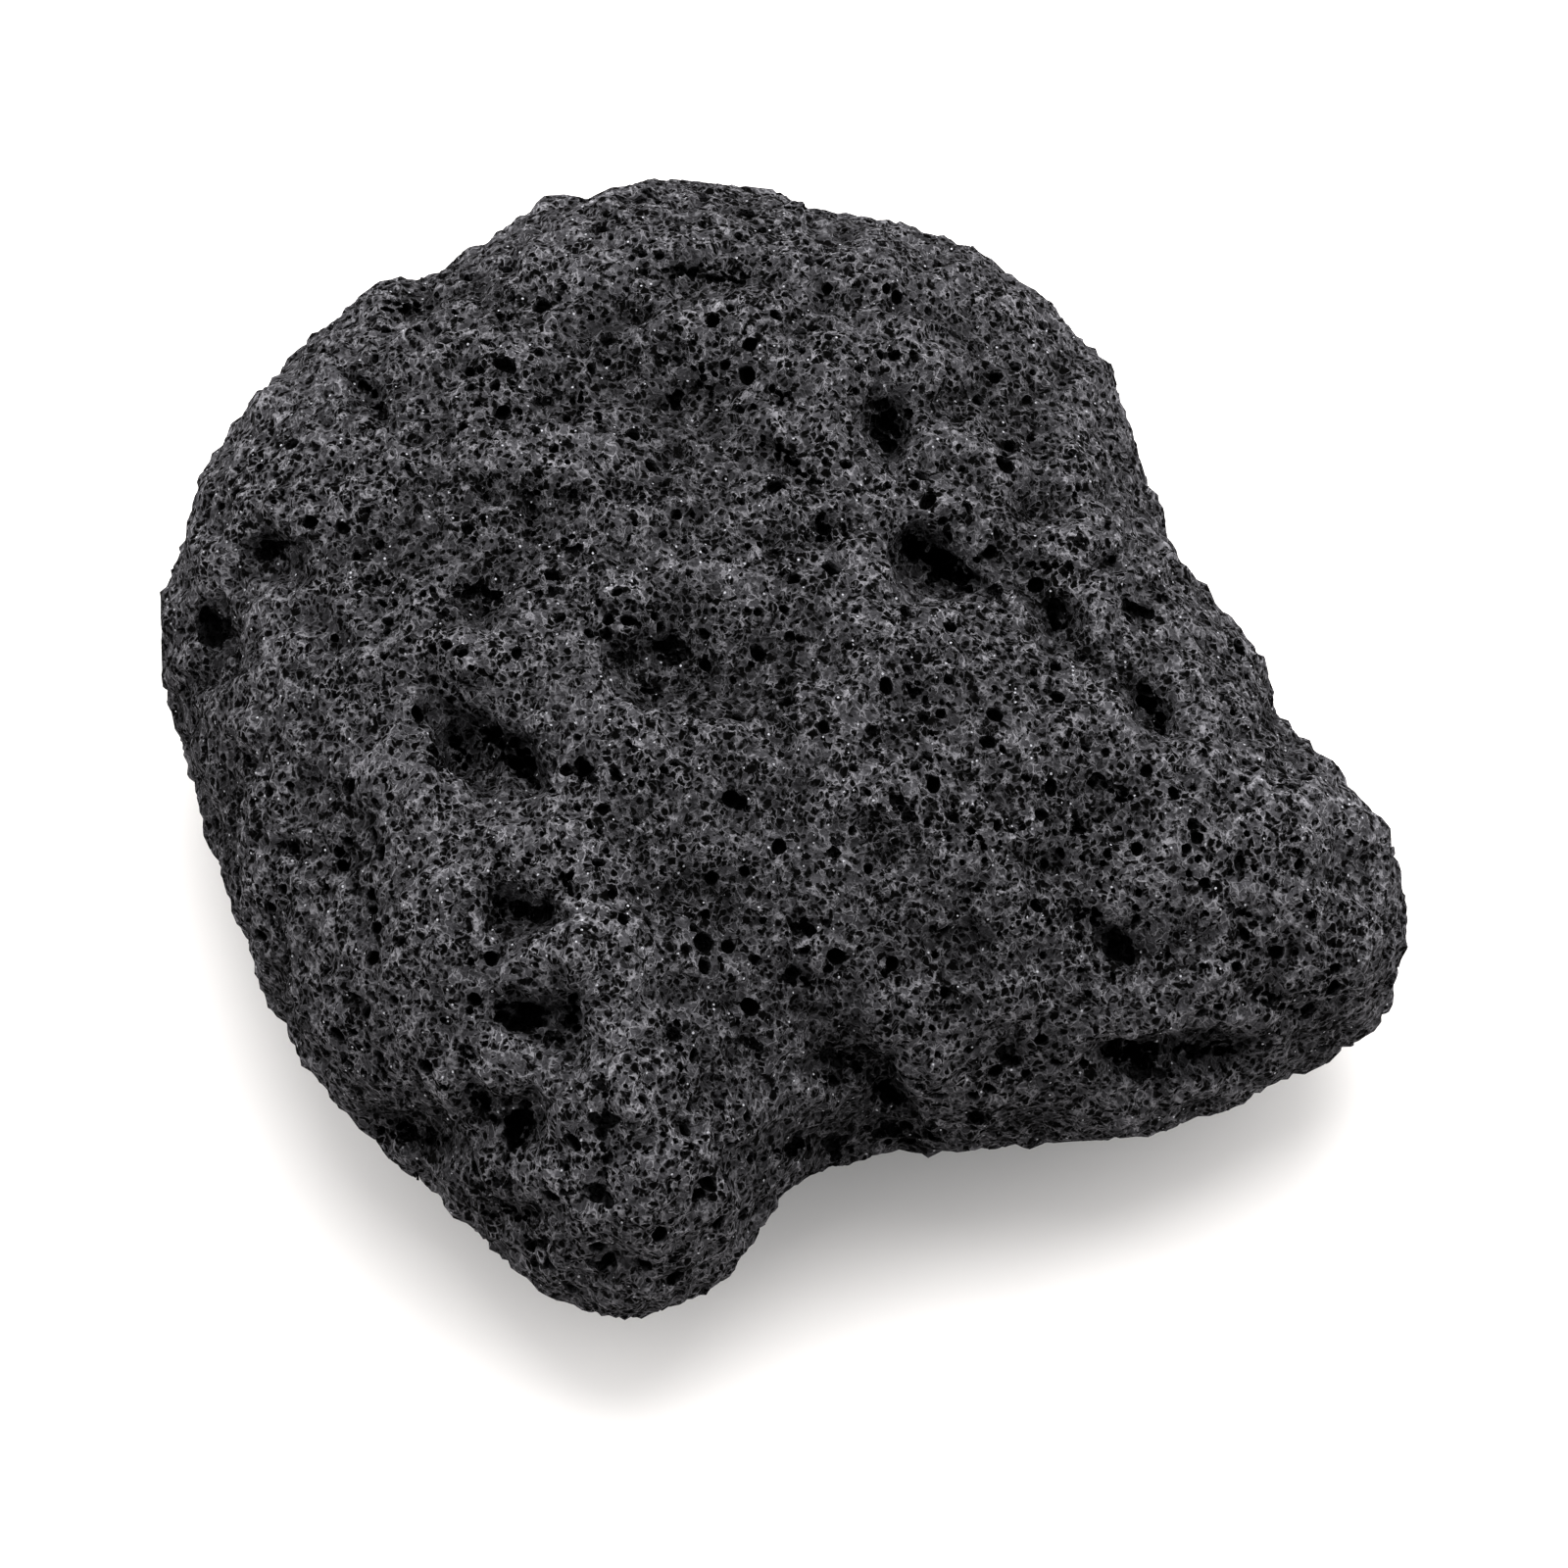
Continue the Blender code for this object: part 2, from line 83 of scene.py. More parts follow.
# The board faces an eye in front of and above the rock. Its sizes are millimetres: right, then up.
EYE_ELEVATION = math.radians(55.0)
EYE_RANGE = 600.0 * MM
BOARD_CENTRE = np.array([0.85, -0.1, 19.3]) * MM
BOARD_WIDTH = 139.13 * MM
LENS_DROP = 3.09 * MM
RIGHT = np.array([1.0, 0.0, 0.0])
UP = np.array([0.0, math.sin(EYE_ELEVATION), math.cos(EYE_ELEVATION)])
TOWARDS_EYE = np.array([0.0, -math.cos(EYE_ELEVATION), math.sin(EYE_ELEVATION)])

# Torn hollows on the show face: middle, half length and half width, turn from level in degrees, depth.
HOLLOWS = [
    (-28.8, -0.2, 2.1, 0.65, -66, 2.4), (-25.8, 0.9, 2.3, 0.95, -70, 2.6), (-23.2, -1.0, 2.4, 1.15, -62, 3.2),
    (-17.7, -2.1, 1.3, 1.0, -60, 2.2), (13.3, 16.6, 3.3, 1.35, -32, 3.6), (16.0, 14.9, 1.8, 1.0, -30, 2.6),
    (9.1, 28.4, 2.5, 1.2, -75, 3.0), (0.1, 25.8, 3.3, 0.7, -36, 1.8), (3.3, 19.2, 1.5, 0.8, -85, 2.0),
    (5.5, 19.6, 1.1, 0.6, -70, 1.5), (-36.5, 31.3, 1.9, 0.8, -58, 2.2), (-33.5, 39.3, 2.5, 0.7, 2, 2.0),
    (-9.8, 30.8, 1.1, 1.0, 0, 1.8), (-7.2, 32.3, 2.0, 0.7, -70, 1.6), (-10.4, 34.7, 1.6, 0.6, -5, 1.2),
    (-21.0, 22.6, 4.6, 0.5, -6, 0.9), (-11.5, 22.4, 3.4, 0.45, 6, 0.7), (-22.4, 20.0, 2.4, 0.6, -88, 1.2),
    (-26.8, 13.7, 2.5, 0.9, -4, 1.8), (-21.8, 13.9, 2.3, 0.5, -4, 1.0), (-45.4, 17.6, 2.5, 0.9, 4, 1.8),
    (-50.4, 10.9, 2.2, 1.4, -75, 2.4), (-36.0, 14.9, 1.7, 0.7, -5, 1.3), (18.9, 13.4, 1.7, 0.6, -60, 1.3),
    (23.8, 16.0, 2.6, 0.7, -6, 1.4), (26.2, 18.2, 1.0, 0.8, -30, 1.4), (24.3, 11.6, 1.7, 1.1, -65, 2.6),
    (26.7, 7.9, 1.5, 0.6, -52, 1.3), (31.1, 12.1, 1.9, 1.0, -38, 2.0), (33.4, 13.7, 1.2, 0.6, -60, 1.0),
    (32.6, 3.4, 2.7, 0.95, -64, 2.4), (11.7, 4.9, 1.9, 0.7, -62, 1.4), (10.6, -5.1, 1.9, 0.7, -58, 1.4),
    (25.7, -7.0, 1.6, 0.8, -35, 1.5), (27.8, -3.1, 1.7, 0.8, -35, 1.2), (30.1, -4.3, 1.1, 0.7, -40, 1.5),
    (-22.3, -14.4, 1.7, 1.2, -8, 2.2), (-25.2, -14.4, 1.3, 0.7, -80, 1.6),
    (-19.1, -11.8, 2.1, 0.6, -62, 1.5), (-23.3, -23.8, 2.5, 1.3, -3, 2.8),
    (-18.8, -23.6, 1.8, 0.9, -82, 2.5), (-20.3, -25.8, 2.0, 0.5, -2, 1.4),
    (-28.1, -27.2, 1.6, 0.6, -60, 1.1), (-23.5, -33.6, 2.4, 1.2, 80, 2.8),
    (-26.8, -31.7, 2.2, 0.8, -56, 2.0), (-33.0, -34.1, 3.5, 1.0, -8, 1.8),
    (-25.2, -38.6, 1.6, 0.6, -15, 1.1), (-24.4, -41.4, 3.1, 0.8, -8, 1.6),
    (-22.0, -44.0, 1.1, 0.9, -20, 1.6), (-16.1, -30.5, 1.5, 0.6, -20, 1.2),
    (-15.9, -33.5, 1.5, 1.1, 0, 1.9), (-15.8, -36.6, 1.5, 0.5, 88, 1.2), (-19.8, -39.8, 1.6, 0.6, 0, 1.2),
    (-16.4, -39.9, 1.3, 1.0, -30, 1.8), (-16.0, -45.7, 1.2, 1.0, 0, 1.5), (-3.0, -26.5, 2.1, 0.7, -38, 1.3),
    (2.2, -15.9, 1.9, 0.9, 0, 2.0), (0.9, -20.4, 1.4, 0.8, -30, 1.7), (-9.7, -26.2, 1.7, 0.6, -65, 1.2),
    (27.2, -15.1, 1.6, 0.9, -15, 1.9), (30.0, -17.9, 1.8, 1.3, -42, 2.4), (40.2, -10.6, 1.5, 0.7, 80, 1.4),
    (41.0, -15.0, 2.3, 0.6, -30, 1.1), (44.0, -22.6, 3.4, 0.7, -18, 1.6), (30.4, -26.9, 3.0, 1.1, 0, 2.8),
    (32.0, -28.5, 1.6, 1.2, -30, 2.2), (37.4, -26.7, 3.5, 0.8, 3, 1.5), (20.0, -27.4, 1.5, 0.8, -25, 1.5),
    (17.4, -33.2, 2.4, 0.9, -35, 1.8), (10.3, -34.2, 3.6, 1.0, -2, 2.0), (4.6, -35.4, 1.7, 1.1, 0, 1.9),
    (1.3, -35.3, 1.3, 1.1, 30, 1.8), (9.0, -30.2, 2.1, 1.0, -45, 2.0), (4.6, -27.4, 3.2, 0.9, -22, 1.5),
    (4.3, -29.7, 1.2, 0.8, 0, 1.3), (-7.8, 42.0, 3.2, 0.9, -3, 1.8), (-4.2, 41.8, 1.1, 0.9, 0, 1.4),
    (-18.3, 30.8, 1.1, 0.7, -85, 1.4), (-21.0, 31.0, 1.3, 0.9, 10, 1.4), (-16.2, 29.2, 1.3, 0.5, -78, 1.2),
    (-0.4, 31.5, 1.5, 0.8, -48, 1.7), (2.2, 23.7, 1.3, 0.7, -30, 1.3), (-18.7, 18.0, 1.2, 0.8, -25, 1.3),
    (-30.4, 12.3, 2.1, 0.5, -68, 1.1), (-10.2, 8.7, 1.6, 1.2, -20, 2.0), (-14.3, 8.3, 1.2, 1.0, 0, 1.3),
    (-12.0, 5.0, 1.5, 0.8, -40, 1.3), (4.5, -9.0, 1.3, 0.6, 80, 1.2),
]

# Softer forms on the show face, in the same way: those with a height below nought sink.
SWELLS = [
    (-31.5, 32.8, 4.0, 1.2, 6, -0.8), (-14.3, 38.2, 2.6, 0.8, 8, -0.6), (-18.3, 37.3, 2.3, 0.7, 4, -0.6),
    (-15.5, 34.1, 1.6, 0.6, -75, -0.5), (-10.0, 26.5, 1.5, 1.0, -30, -0.7),
    (-50.2, 21.0, 2.2, 0.9, 70, -0.7), (-52.2, 6.2, 1.6, 0.9, 25, -0.7), (-41.6, 11.9, 2.2, 0.8, -15, -0.7),
    (-39.4, 9.4, 1.6, 1.1, -30, -0.7), (-27.0, 11.2, 1.4, 0.8, -60, -0.6),
    (-10.6, 6.8, 5.2, 3.6, -10, -1.0), (15.8, 40.2, 2.0, 0.8, -60, -0.6), (25.5, 34.2, 2.0, 1.2, 20, -0.7),
    (23.0, 21.0, 2.6, 2.4, 0, -0.8), (29.3, 16.9, 2.3, 1.0, 0, -0.8), (18.8, 9.6, 1.5, 0.9, -20, -0.6),
    (-39.5, -10.0, 2.4, 1.6, 0, -0.7), (-43.5, -8.9, 1.4, 1.0, 0, -0.6), (-10.4, -21.6, 1.8, 1.6, 0, -0.7),
    (-4.8, -15.6, 2.2, 0.7, -15, -0.6), (-13.6, -9.5, 2.4, 0.8, -60, -0.6),
    (23.0, -10.0, 2.0, 1.2, -20, -0.7), (16.5, -17.6, 1.7, 1.0, -40, -0.6),
    (-15.0, -46.5, 4.2, 2.2, 10, -0.9), (6.5, -28.6, 5.2, 3.0, -35, -0.5), (7.0, -34.8, 7.5, 2.0, 4, -0.6),
    (36.0, -27.6, 8.5, 2.0, 2, -0.5), (-27.6, -36.5, 7.0, 3.0, -40, -0.4),
    (-26.0, 0.0, 5.0, 2.6, -25, -0.4), (13.8, 16.4, 4.4, 2.6, -30, -0.4), (-46.0, 16.0, 4.5, 2.4, 10, -0.8),
    (-9.0, -12.5, 2.0, 1.5, 0, -0.5), (-27.8, 7.2, 2.4, 1.4, 5, 1.0), (13.0, 33.0, 3.6, 1.4, 0, 0.9),
    (7.6, 42.6, 3.8, 2.4, 0, 0.6), (4.6, 32.8, 2.8, 1.0, 0, 0.6), (-18.2, -18.4, 1.9, 2.8, 0, 1.0),
    (-32.2, -4.8, 1.2, 3.8, 0, 0.8), (-20.0, -6.6, 2.0, 1.8, 0, 0.8), (-29.2, -12.4, 3.0, 3.6, 0, 0.7),
    (-13.8, -30.4, 1.2, 4.8, 8, 1.0), (-16.2, -23.8, 1.4, 2.6, 15, 0.8), (-5.8, -41.4, 1.2, 3.8, 12, 0.7),
    (-6.5, -9.6, 1.6, 1.5, 0, 0.7), (-34.0, 25.4, 4.0, 1.3, 0, 0.6), (-37.6, 23.0, 3.4, 1.0, 0, 0.5),
    (-24.3, 33.9, 2.4, 0.9, -5, 0.6), (-21.7, 26.6, 4.4, 1.8, 0, 0.7), (26.0, 24.6, 3.6, 1.9, 0, 0.7),
    (14.0, 21.4, 3.2, 1.5, 15, 0.7), (27.9, 12.6, 1.1, 3.6, 0, 0.8), (36.0, 7.2, 1.5, 3.2, 35, 0.8),
    (40.8, 4.0, 1.3, 2.8, 25, 0.7), (34.6, -0.6, 3.2, 1.1, 5, 0.6), (43.5, -5.6, 4.0, 3.4, 0, 0.8),
    (51.0, -7.6, 2.2, 1.2, -35, 0.5), (6.6, -13.0, 1.3, 2.8, 30, 0.7), (8.3, -23.0, 1.1, 3.6, 5, 0.7),
    (12.2, -28.2, 2.6, 1.9, 0, 0.8), (31.8, -24.0, 3.2, 1.2, 0, 0.7), (-43.4, 8.6, 1.5, 1.4, 0, 0.6),
    (-47.2, 1.8, 1.6, 1.4, -30, 0.6), (-51.2, 17.0, 1.4, 1.3, 0, 0.5), (-44.4, 30.0, 2.2, 2.6, -35, 0.5),
    (-36.5, -3.0, 2.0, 2.0, 0, 0.5), (-21.5, -18.5, 2.2, 1.2, 0, 0.5), (-5.0, 1.5, 4.0, 2.4, -15, 0.5),
    (2.0, 3.6, 2.6, 1.6, 0, 0.5), (-8.6, -36.0, 2.4, 2.0, 0, 0.6), (20.0, -22.5, 3.0, 2.0, 0, 0.5),
    (50.2, -16.0, 1.6, 3.4, 0, 0.5), (-13.6, 13.6, 3.4, 1.6, 0, 0.5), (8.7, 36.4, 7.0, 2.6, -10, 0.5),
    (48.0, -6.5, 3.0, 5.0, 10, 0.5),
]

# Vesicles on the show face that stand out from the others: middle and radius.
LARGE_VESICLES = [
    (11.0, 29.7, 0.80), (10.8, 28.0, 0.60), (-24.9, 29.8, 0.95), (-3.0, 35.9, 0.95), (-5.2, 34.1, 0.75),
    (-35.9, 18.0, 0.70), (-37.9, 17.0, 0.70), (-32.6, 3.0, 0.95), (11.5, 23.4, 0.80), (19.6, 25.2, 0.95),
    (14.1, 20.1, 0.70), (-16.1, -5.5, 0.90), (-26.0, -18.8, 0.90), (-37.0, -23.4, 0.85), (-20.3, -39.9, 0.75),
    (-3.9, -5.0, 0.95), (-3.5, -11.0, 0.70), (0.5, -20.3, 0.90), (3.9, -19.7, 0.70), (7.4, -10.8, 0.75),
    (9.6, -19.2, 0.90), (27.6, -2.9, 0.60), (22.8, -5.9, 0.90), (21.1, -7.0, 0.60), (32.2, -2.0, 0.80),
    (28.5, -0.4, 0.60), (24.3, 4.5, 1.00), (31.5, -12.9, 0.60), (28.7, -9.5, 0.65), (43.7, -18.1, 0.95),
    (40.2, -19.5, 0.80), (47.0, -14.9, 0.75), (40.4, -10.5, 0.70), (41.0, -5.5, 0.60), (46.5, -23.1, 0.95),
    (-9.8, -25.5, 0.85), (18.3, -30.3, 0.80), (29.1, 16.7, 0.60), (7.8, 1.5, 0.80), (3.5, 1.9, 0.80),
    (13.9, 3.0, 0.70), (-36.7, 39.0, 0.55), (-27.2, 39.5, 0.60), (-24.4, 38.2, 0.55), (-24.6, 42.5, 0.70),
    (-11.0, 43.8, 0.70), (-12.4, 42.3, 0.55), (-13.5, 43.6, 0.50), (-11.7, 45.0, 0.50), (-40.9, 35.3, 0.55),
    (-36.9, 28.9, 0.50), (-31.7, 28.5, 0.50), (-28.5, 28.6, 0.75), (-27.8, 32.1, 0.70), (-27.0, 33.6, 0.60),
    (-15.7, 34.3, 0.60), (-21.7, 35.2, 0.75), (-45.2, 26.0, 0.60), (-46.5, 25.0, 0.60), (-48.7, 22.8, 0.70),
    (-50.0, 21.5, 0.75), (-10.7, 18.9, 0.70), (3.9, 36.6, 0.60), (6.7, 33.7, 0.60), (9.8, 34.9, 0.80),
    (3.2, 43.3, 0.60), (-3.9, 30.2, 0.75), (21.9, 27.6, 0.55), (21.6, 31.0, 0.60), (26.1, 23.2, 0.55),
    (-2.3, 12.1, 0.60), (0.0, 12.3, 0.70), (5.7, 9.1, 0.60), (-7.1, 10.1, 0.70), (-4.6, 6.0, 0.55),
    (-47.6, -0.9, 0.60), (-45.8, -3.8, 0.85), (-47.2, -4.9, 0.60), (-36.5, -13.1, 0.85), (-39.1, -10.5, 0.80),
    (6.1, -1.8, 0.55), (9.7, -4.7, 0.70), (10.9, -6.1, 0.85), (16.1, -26.8, 0.60), (19.3, -26.8, 0.60),
    (49.6, -14.0, 0.55), (39.4, 0.3, 0.55), (27.0, -22.0, 0.60), (-16.0, -5.4, 0.70), (-19.2, -2.0, 0.9),
    (-36.9, -26.5, 0.60), (-22.3, -43.8, 0.7), (-24.6, -39.0, 0.65), (-15.6, -36.6, 0.75),
    (-31.9, -13.0, 0.55),
    (-12.0, 39.0, 0.55), (-19.6, 41.0, 0.60), (-8.6, 12.4, 0.60), (12.8, 38.9, 0.55), (16.5, 35.6, 0.55),
    (-14.8, 13.9, 0.8), (-15.6, 11.4, 0.8), (18.7, 32.9, 0.75), (18.2, 17.4, 0.9), (0.5, 9.9, 0.75),
    (10.8, 12.1, 0.8), (-4.7, -4.6, 1.2), (-35.8, -9.3, 1.1), (-43.5, -8.9, 0.8), (-36.2, -16.0, 0.8),
    (-16.5, -10.3, 0.85), (-0.5, -8.9, 1.0), (-10.9, -43.3, 1.0), (14.3, -21.8, 0.85), (48.6, -21.3, 1.1),
    (19.6, 25.2, 1.2), (31.3, -9.0, 0.8), (-15.2, -13.0, 0.7), (36.6, -8.0, 0.8), (45.8, -10.4, 0.8),
]


def deselect():
    bpy.ops.object.select_all(action="DESELECT")


def take(piece):
    """Makes the piece the only one selected, and the active one."""
    deselect()
    piece.select_set(True)
    bpy.context.view_layer.objects.active = piece


def apply_modifier(piece, kind, **settings):
    """Adds a modifier with these settings and applies it."""
    take(piece)
    modifier = piece.modifiers.new(kind.title(), kind)
    for name, value in settings.items():
        setattr(modifier, name, value)
    bpy.ops.object.modifier_apply(modifier=modifier.name)


def points_of(piece):
    found = np.empty(len(piece.data.vertices) * 3, dtype=np.float32)
    piece.data.vertices.foreach_get("co", found)
    return found.reshape(-1, 3).astype(np.float64)


def normals_of(piece):
    found = np.empty(len(piece.data.vertices) * 3, dtype=np.float32)
    piece.data.vertex_normals.foreach_get("vector", found)
    return found.reshape(-1, 3).astype(np.float64)


def put(piece, points):
    """Moves the piece's points here, and none of them outside the solid's box."""
    piece.data.vertices.foreach_set("co", np.clip(points, LOW, HIGH).astype(np.float32).ravel())
    piece.data.update()


def mesh_piece(name, points, faces):
    mesh = bpy.data.meshes.new(name)
    mesh.from_pydata(points, [], faces)
    mesh.update()
    piece = bpy.data.objects.new(name, mesh)
    bpy.context.collection.objects.link(piece)
    return piece


def tree_of(piece):
    return BVHTree.FromPolygons(
        [tuple(point) for point in points_of(piece)], [tuple(face.vertices) for face in piece.data.polygons]
    )


def on_board(points):
    """Where the eye sees these points on the board: right, up."""
    offset = points - BOARD_CENTRE
    scale = EYE_RANGE / (EYE_RANGE - offset @ TOWARDS_EYE)
    return np.column_stack([offset @ RIGHT, offset @ UP]) * scale[:, None]


def seen_at(tree, right, up):
    """The place on the skin that the eye sees here on the board, and its normal."""
    eye = BOARD_CENTRE + TOWARDS_EYE * EYE_RANGE
    target = BOARD_CENTRE + (right * RIGHT + up * UP) * MM
    spot, normal, _, _ = tree.ray_cast(Vector(eye), Vector(target - eye))
    return None if spot is None else (np.array(spot), np.array(normal))


# ---------------------------------------------------------------------------- settings


class LavaRockSkin(bpy.types.PropertyGroup):
    """Sizes of the smoothed and roughened skin and of the vesicles that break it."""

    grain: bpy.props.FloatProperty(
        name="Grain", description="Spacing of the skin's points", default=0.62 * MM, unit="LENGTH"
    )
    skin_faces: bpy.props.IntProperty(
        name="Skin Faces", description="Triangles of the skin before it is pitted", default=110000
    )
    relief: bpy.props.FloatProperty(
        name="Relief", description="Height of the skin's broader unevenness", default=0.7 * MM, unit="LENGTH"
    )
    wrinkles: bpy.props.FloatProperty(
        name="Wrinkles", description="Height of the skin's finer unevenness", default=0.5 * MM, unit="LENGTH"
    )
    grit: bpy.props.FloatProperty(
        name="Grit", description="Height of the skin's finest unevenness", default=0.3 * MM, unit="LENGTH"
    )
    hidden_hollows: bpy.props.IntProperty(
        name="Hidden Hollows", description="Torn hollows on the sides that the eye doesn't see", default=85
    )
    tries: bpy.props.IntProperty(
        name="Vesicle Tries", description="Places tried for a vesicle all over the rock", default=8500
    )


# ---------------------------------------------------------------------------- skin


# Unevenness of the skin: the spacings of its lumps, wrinkles and grit, and how a wrinkle stands and falls.
LUMP_SPACING = 4.5 * MM
WRINKLE_SPACING = 2.4 * MM
GRIT_SPACING = 1.25 * MM
WRINKLE_TOP = 0.8
WRINKLE_FALL = 2.4

# How far the marks of the show face lift or sink the skin, in their own depths, and spread, in millimetres.
HOLLOW_SINK = 0.14
HOLLOW_SPREAD = 0.7
HOLLOW_STEEPNESS = 1.5
SWELL_RISE = 1.3
SWELL_SPREAD = 0.6
SHOW_FACE = 0.1

# Rounds of smoothing: to rub the solid's facets off, and to find the level that the skin stands round.
RUB_ROUNDS = 10
LEVEL_ROUNDS = 400


def worn_skin(settings):
    """A copy of the solid, smoothed and roughened, and the mean level that its skin stands round."""
    skin = frame["nodes"][NODE].copy()
    skin.data = skin.data.copy()
    skin.name = skin.data.name = "basalt_rock"
    bpy.context.collection.objects.link(skin)
    take(skin)
    bpy.ops.object.mode_set(mode="EDIT")
    bpy.ops.mesh.select_all(action="SELECT")
    bpy.ops.mesh.remove_doubles(threshold=0.001 * MM)
    bpy.ops.object.mode_set(mode="OBJECT")
    apply_modifier(skin, "REMESH", mode="VOXEL", voxel_size=settings.grain)
    apply_modifier(skin, "SMOOTH", factor=0.5, iterations=RUB_ROUNDS)
    points, normals = points_of(skin), normals_of(skin)
    height = np.array([relief_at(Vector(point), settings) for point in points])
    put(skin, points + normals * (height + shaped_at(points, normals))[:, None])
    level = skin.copy()
    level.data = skin.data.copy()
    bpy.context.collection.objects.link(level)
    apply_modifier(level, "SMOOTH", factor=0.5, iterations=LEVEL_ROUNDS)
    mean_level = tree_of(level)
    bpy.data.objects.remove(level)
    share = settings.skin_faces / (2 * len(skin.data.polygons))
    apply_modifier(skin, "DECIMATE", ratio=min(share, 1), use_collapse_triangulate=True)
    return skin, mean_level


def relief_at(point, settings):
    """How far the skin stands out here: broad lumps, and sharper wrinkles between them."""
    broad = noise.noise(point / LUMP_SPACING)
    wrinkle = WRINKLE_TOP - WRINKLE_FALL * abs(noise.noise(point / WRINKLE_SPACING))
    grit = noise.noise(point / GRIT_SPACING)
    return settings.relief * broad + settings.wrinkles * wrinkle + settings.grit * grit


def inside_mark(board, mark, spread):
    """1 in the middle of a mark on the board, and 0 past its edge, which lies this much further out."""
    right, up, length, width, turn, _ = mark
    angle = math.radians(turn)
    offset = board - (right, up)
    along = offset @ (math.cos(angle), math.sin(angle)) / (length + spread)
    across = offset @ (-math.sin(angle), math.cos(angle)) / (width + spread)
    return np.clip(1 - along**2 - across**2, 0, None)


def shaped_at(points, normals):
    """How far the show face's forms lift the skin, or sink it below nought, at these points."""
    board = on_board(points) / MM
    lift = np.zeros(len(points))
    for mark in HOLLOWS:
        lift -= HOLLOW_SINK * mark[5] * inside_mark(board, mark, HOLLOW_SPREAD) ** HOLLOW_STEEPNESS
    for mark in SWELLS:
        lift += SWELL_RISE * mark[5] * inside_mark(board, mark, SWELL_SPREAD)
    return np.where(normals @ TOWARDS_EYE > SHOW_FACE, lift * MM, 0)


# ---------------------------------------------------------------------------- vesicles


class Bubble:
    """One gas bubble that broke the skin, as an upright cup laid along the surface."""

    def __init__(self, spot, axis, along, length, width, depth, shape):
        self.spot = spot
        self.axis = axis / np.linalg.norm(axis)
        side = np.cross(self.axis, along)
        self.across = side / np.linalg.norm(side)
        self.along = np.cross(self.across, self.axis)
        self.length = length
        self.width = width
        self.depth = depth
        self.shape = shape

    def reach(self):
        return max(self.length, self.width, self.depth)


# Radii of the scattered vesicles in mm: this share of them is smaller than the radius below it.
VESICLE_SHARES = [0.0, 0.48, 0.78, 0.93, 0.98, 1.0]
VESICLE_RADII = [0.28, 0.36, 0.46, 0.60, 0.76, 1.0]

# Vesicles sink by this many radii, and lie in a drift across the show face, this many degrees from level.
VESICLE_DEPTH = 1.7
DRIFT = -55
DRIFT_SCATTER = 35

# How thick the vesicles lie: their usual share of the places tried, and how it comes and goes over the rock.
RICHNESS = 0.58
RICHNESS_SWING = 1.4
RICHNESS_SPACING = 11 * MM
UNDERSIDE = -0.8
UNDERSIDE_SHARE = 0.6

# Two vesicles are crowded when nearer than this share of their radii together.
CROWDED = 0.92
# The side of the boxes in which neighbours are looked for.
GRID_CELL = 2.4 * MM

# Hollows on the hidden sides: how far apart, and the ranges of half length, half width and depth.
HIDDEN_SIDE = 0.15
HIDDEN_GAP = 6 * MM
HIDDEN_LENGTH = (1.2, 3.4)
HIDDEN_WIDTH = (0.6, 1.3)
HIDDEN_DEPTH = (1.2, 2.8)

# Cups by how many sides they have; each ring is its height in depths and its width in radii.
SMALL_CUP = (6, ((-1.0, 0.72),))
ROUND_CUP = (9, ((-0.35, 1.02), (-1.0, 0.62)))
CUP_TOP = 0.94
CUP_UNEVENNESS = 0.12

# Bubbles in one lot of the cutting stand at least this many reaches apart.
LOT_GAP = 1.25


def model_cup(sides, rings):
    """A cup modelled once: points round its axis, ring by ring, and its faces."""
    deselect()
    bpy.ops.mesh.primitive_circle_add(vertices=sides, radius=CUP_TOP, fill_type="NGON", location=(0, 0, 1))
    cup = bpy.context.object
    bpy.ops.object.transform_apply(location=True)
    bpy.ops.object.mode_set(mode="EDIT")
    bpy.ops.mesh.select_all(action="SELECT")
    height, width = 1, CUP_TOP
    for next_height, next_width in rings:
        bpy.ops.mesh.extrude_region_move(TRANSFORM_OT_translate={"value": (0, 0, next_height - height)})
        grow = next_width / width
        bpy.ops.transform.resize(value=(grow, grow, 1))
        height, width = next_height, next_width
    bpy.ops.mesh.select_all(action="SELECT")
    bpy.ops.mesh.quads_convert_to_tris()
    bpy.ops.mesh.normals_make_consistent(inside=False)
    bpy.ops.object.mode_set(mode="OBJECT")
    points = points_of(cup)
    faces = np.array([tuple(face.vertices) for face in cup.data.polygons])
    bpy.data.objects.remove(cup)
    return points, faces


def cutter_of(bubbles, cups, chance):
    """One cutter that holds these bubbles, which don't touch each other."""
    all_points, all_faces, first = [], [], 0
    for bubble in bubbles:
        points, faces = cups[bubble.shape]
        sides = bubble.shape[0]
        angle = np.arctan2(points[:, 1], points[:, 0])
        step = np.round(angle / (2 * math.pi) * sides).astype(int) % sides
        uneven = 1 + chance.uniform(-CUP_UNEVENNESS, CUP_UNEVENNESS, sides)[step]
        rise = np.where(points[:, 2] > 0, max(bubble.width * 0.8, 0.5 * MM), bubble.depth)
        placed = (
            bubble.spot
            + np.outer(points[:, 0] * uneven * bubble.length, bubble.along)
            + np.outer(points[:, 1] * uneven * bubble.width, bubble.across)
            + np.outer(points[:, 2] * rise, bubble.axis)
        )
        all_points.append(placed)
        all_faces.append(faces + first)
        first += len(points)
    return mesh_piece("bubbles", np.concatenate(all_points).tolist(), np.concatenate(all_faces).tolist())


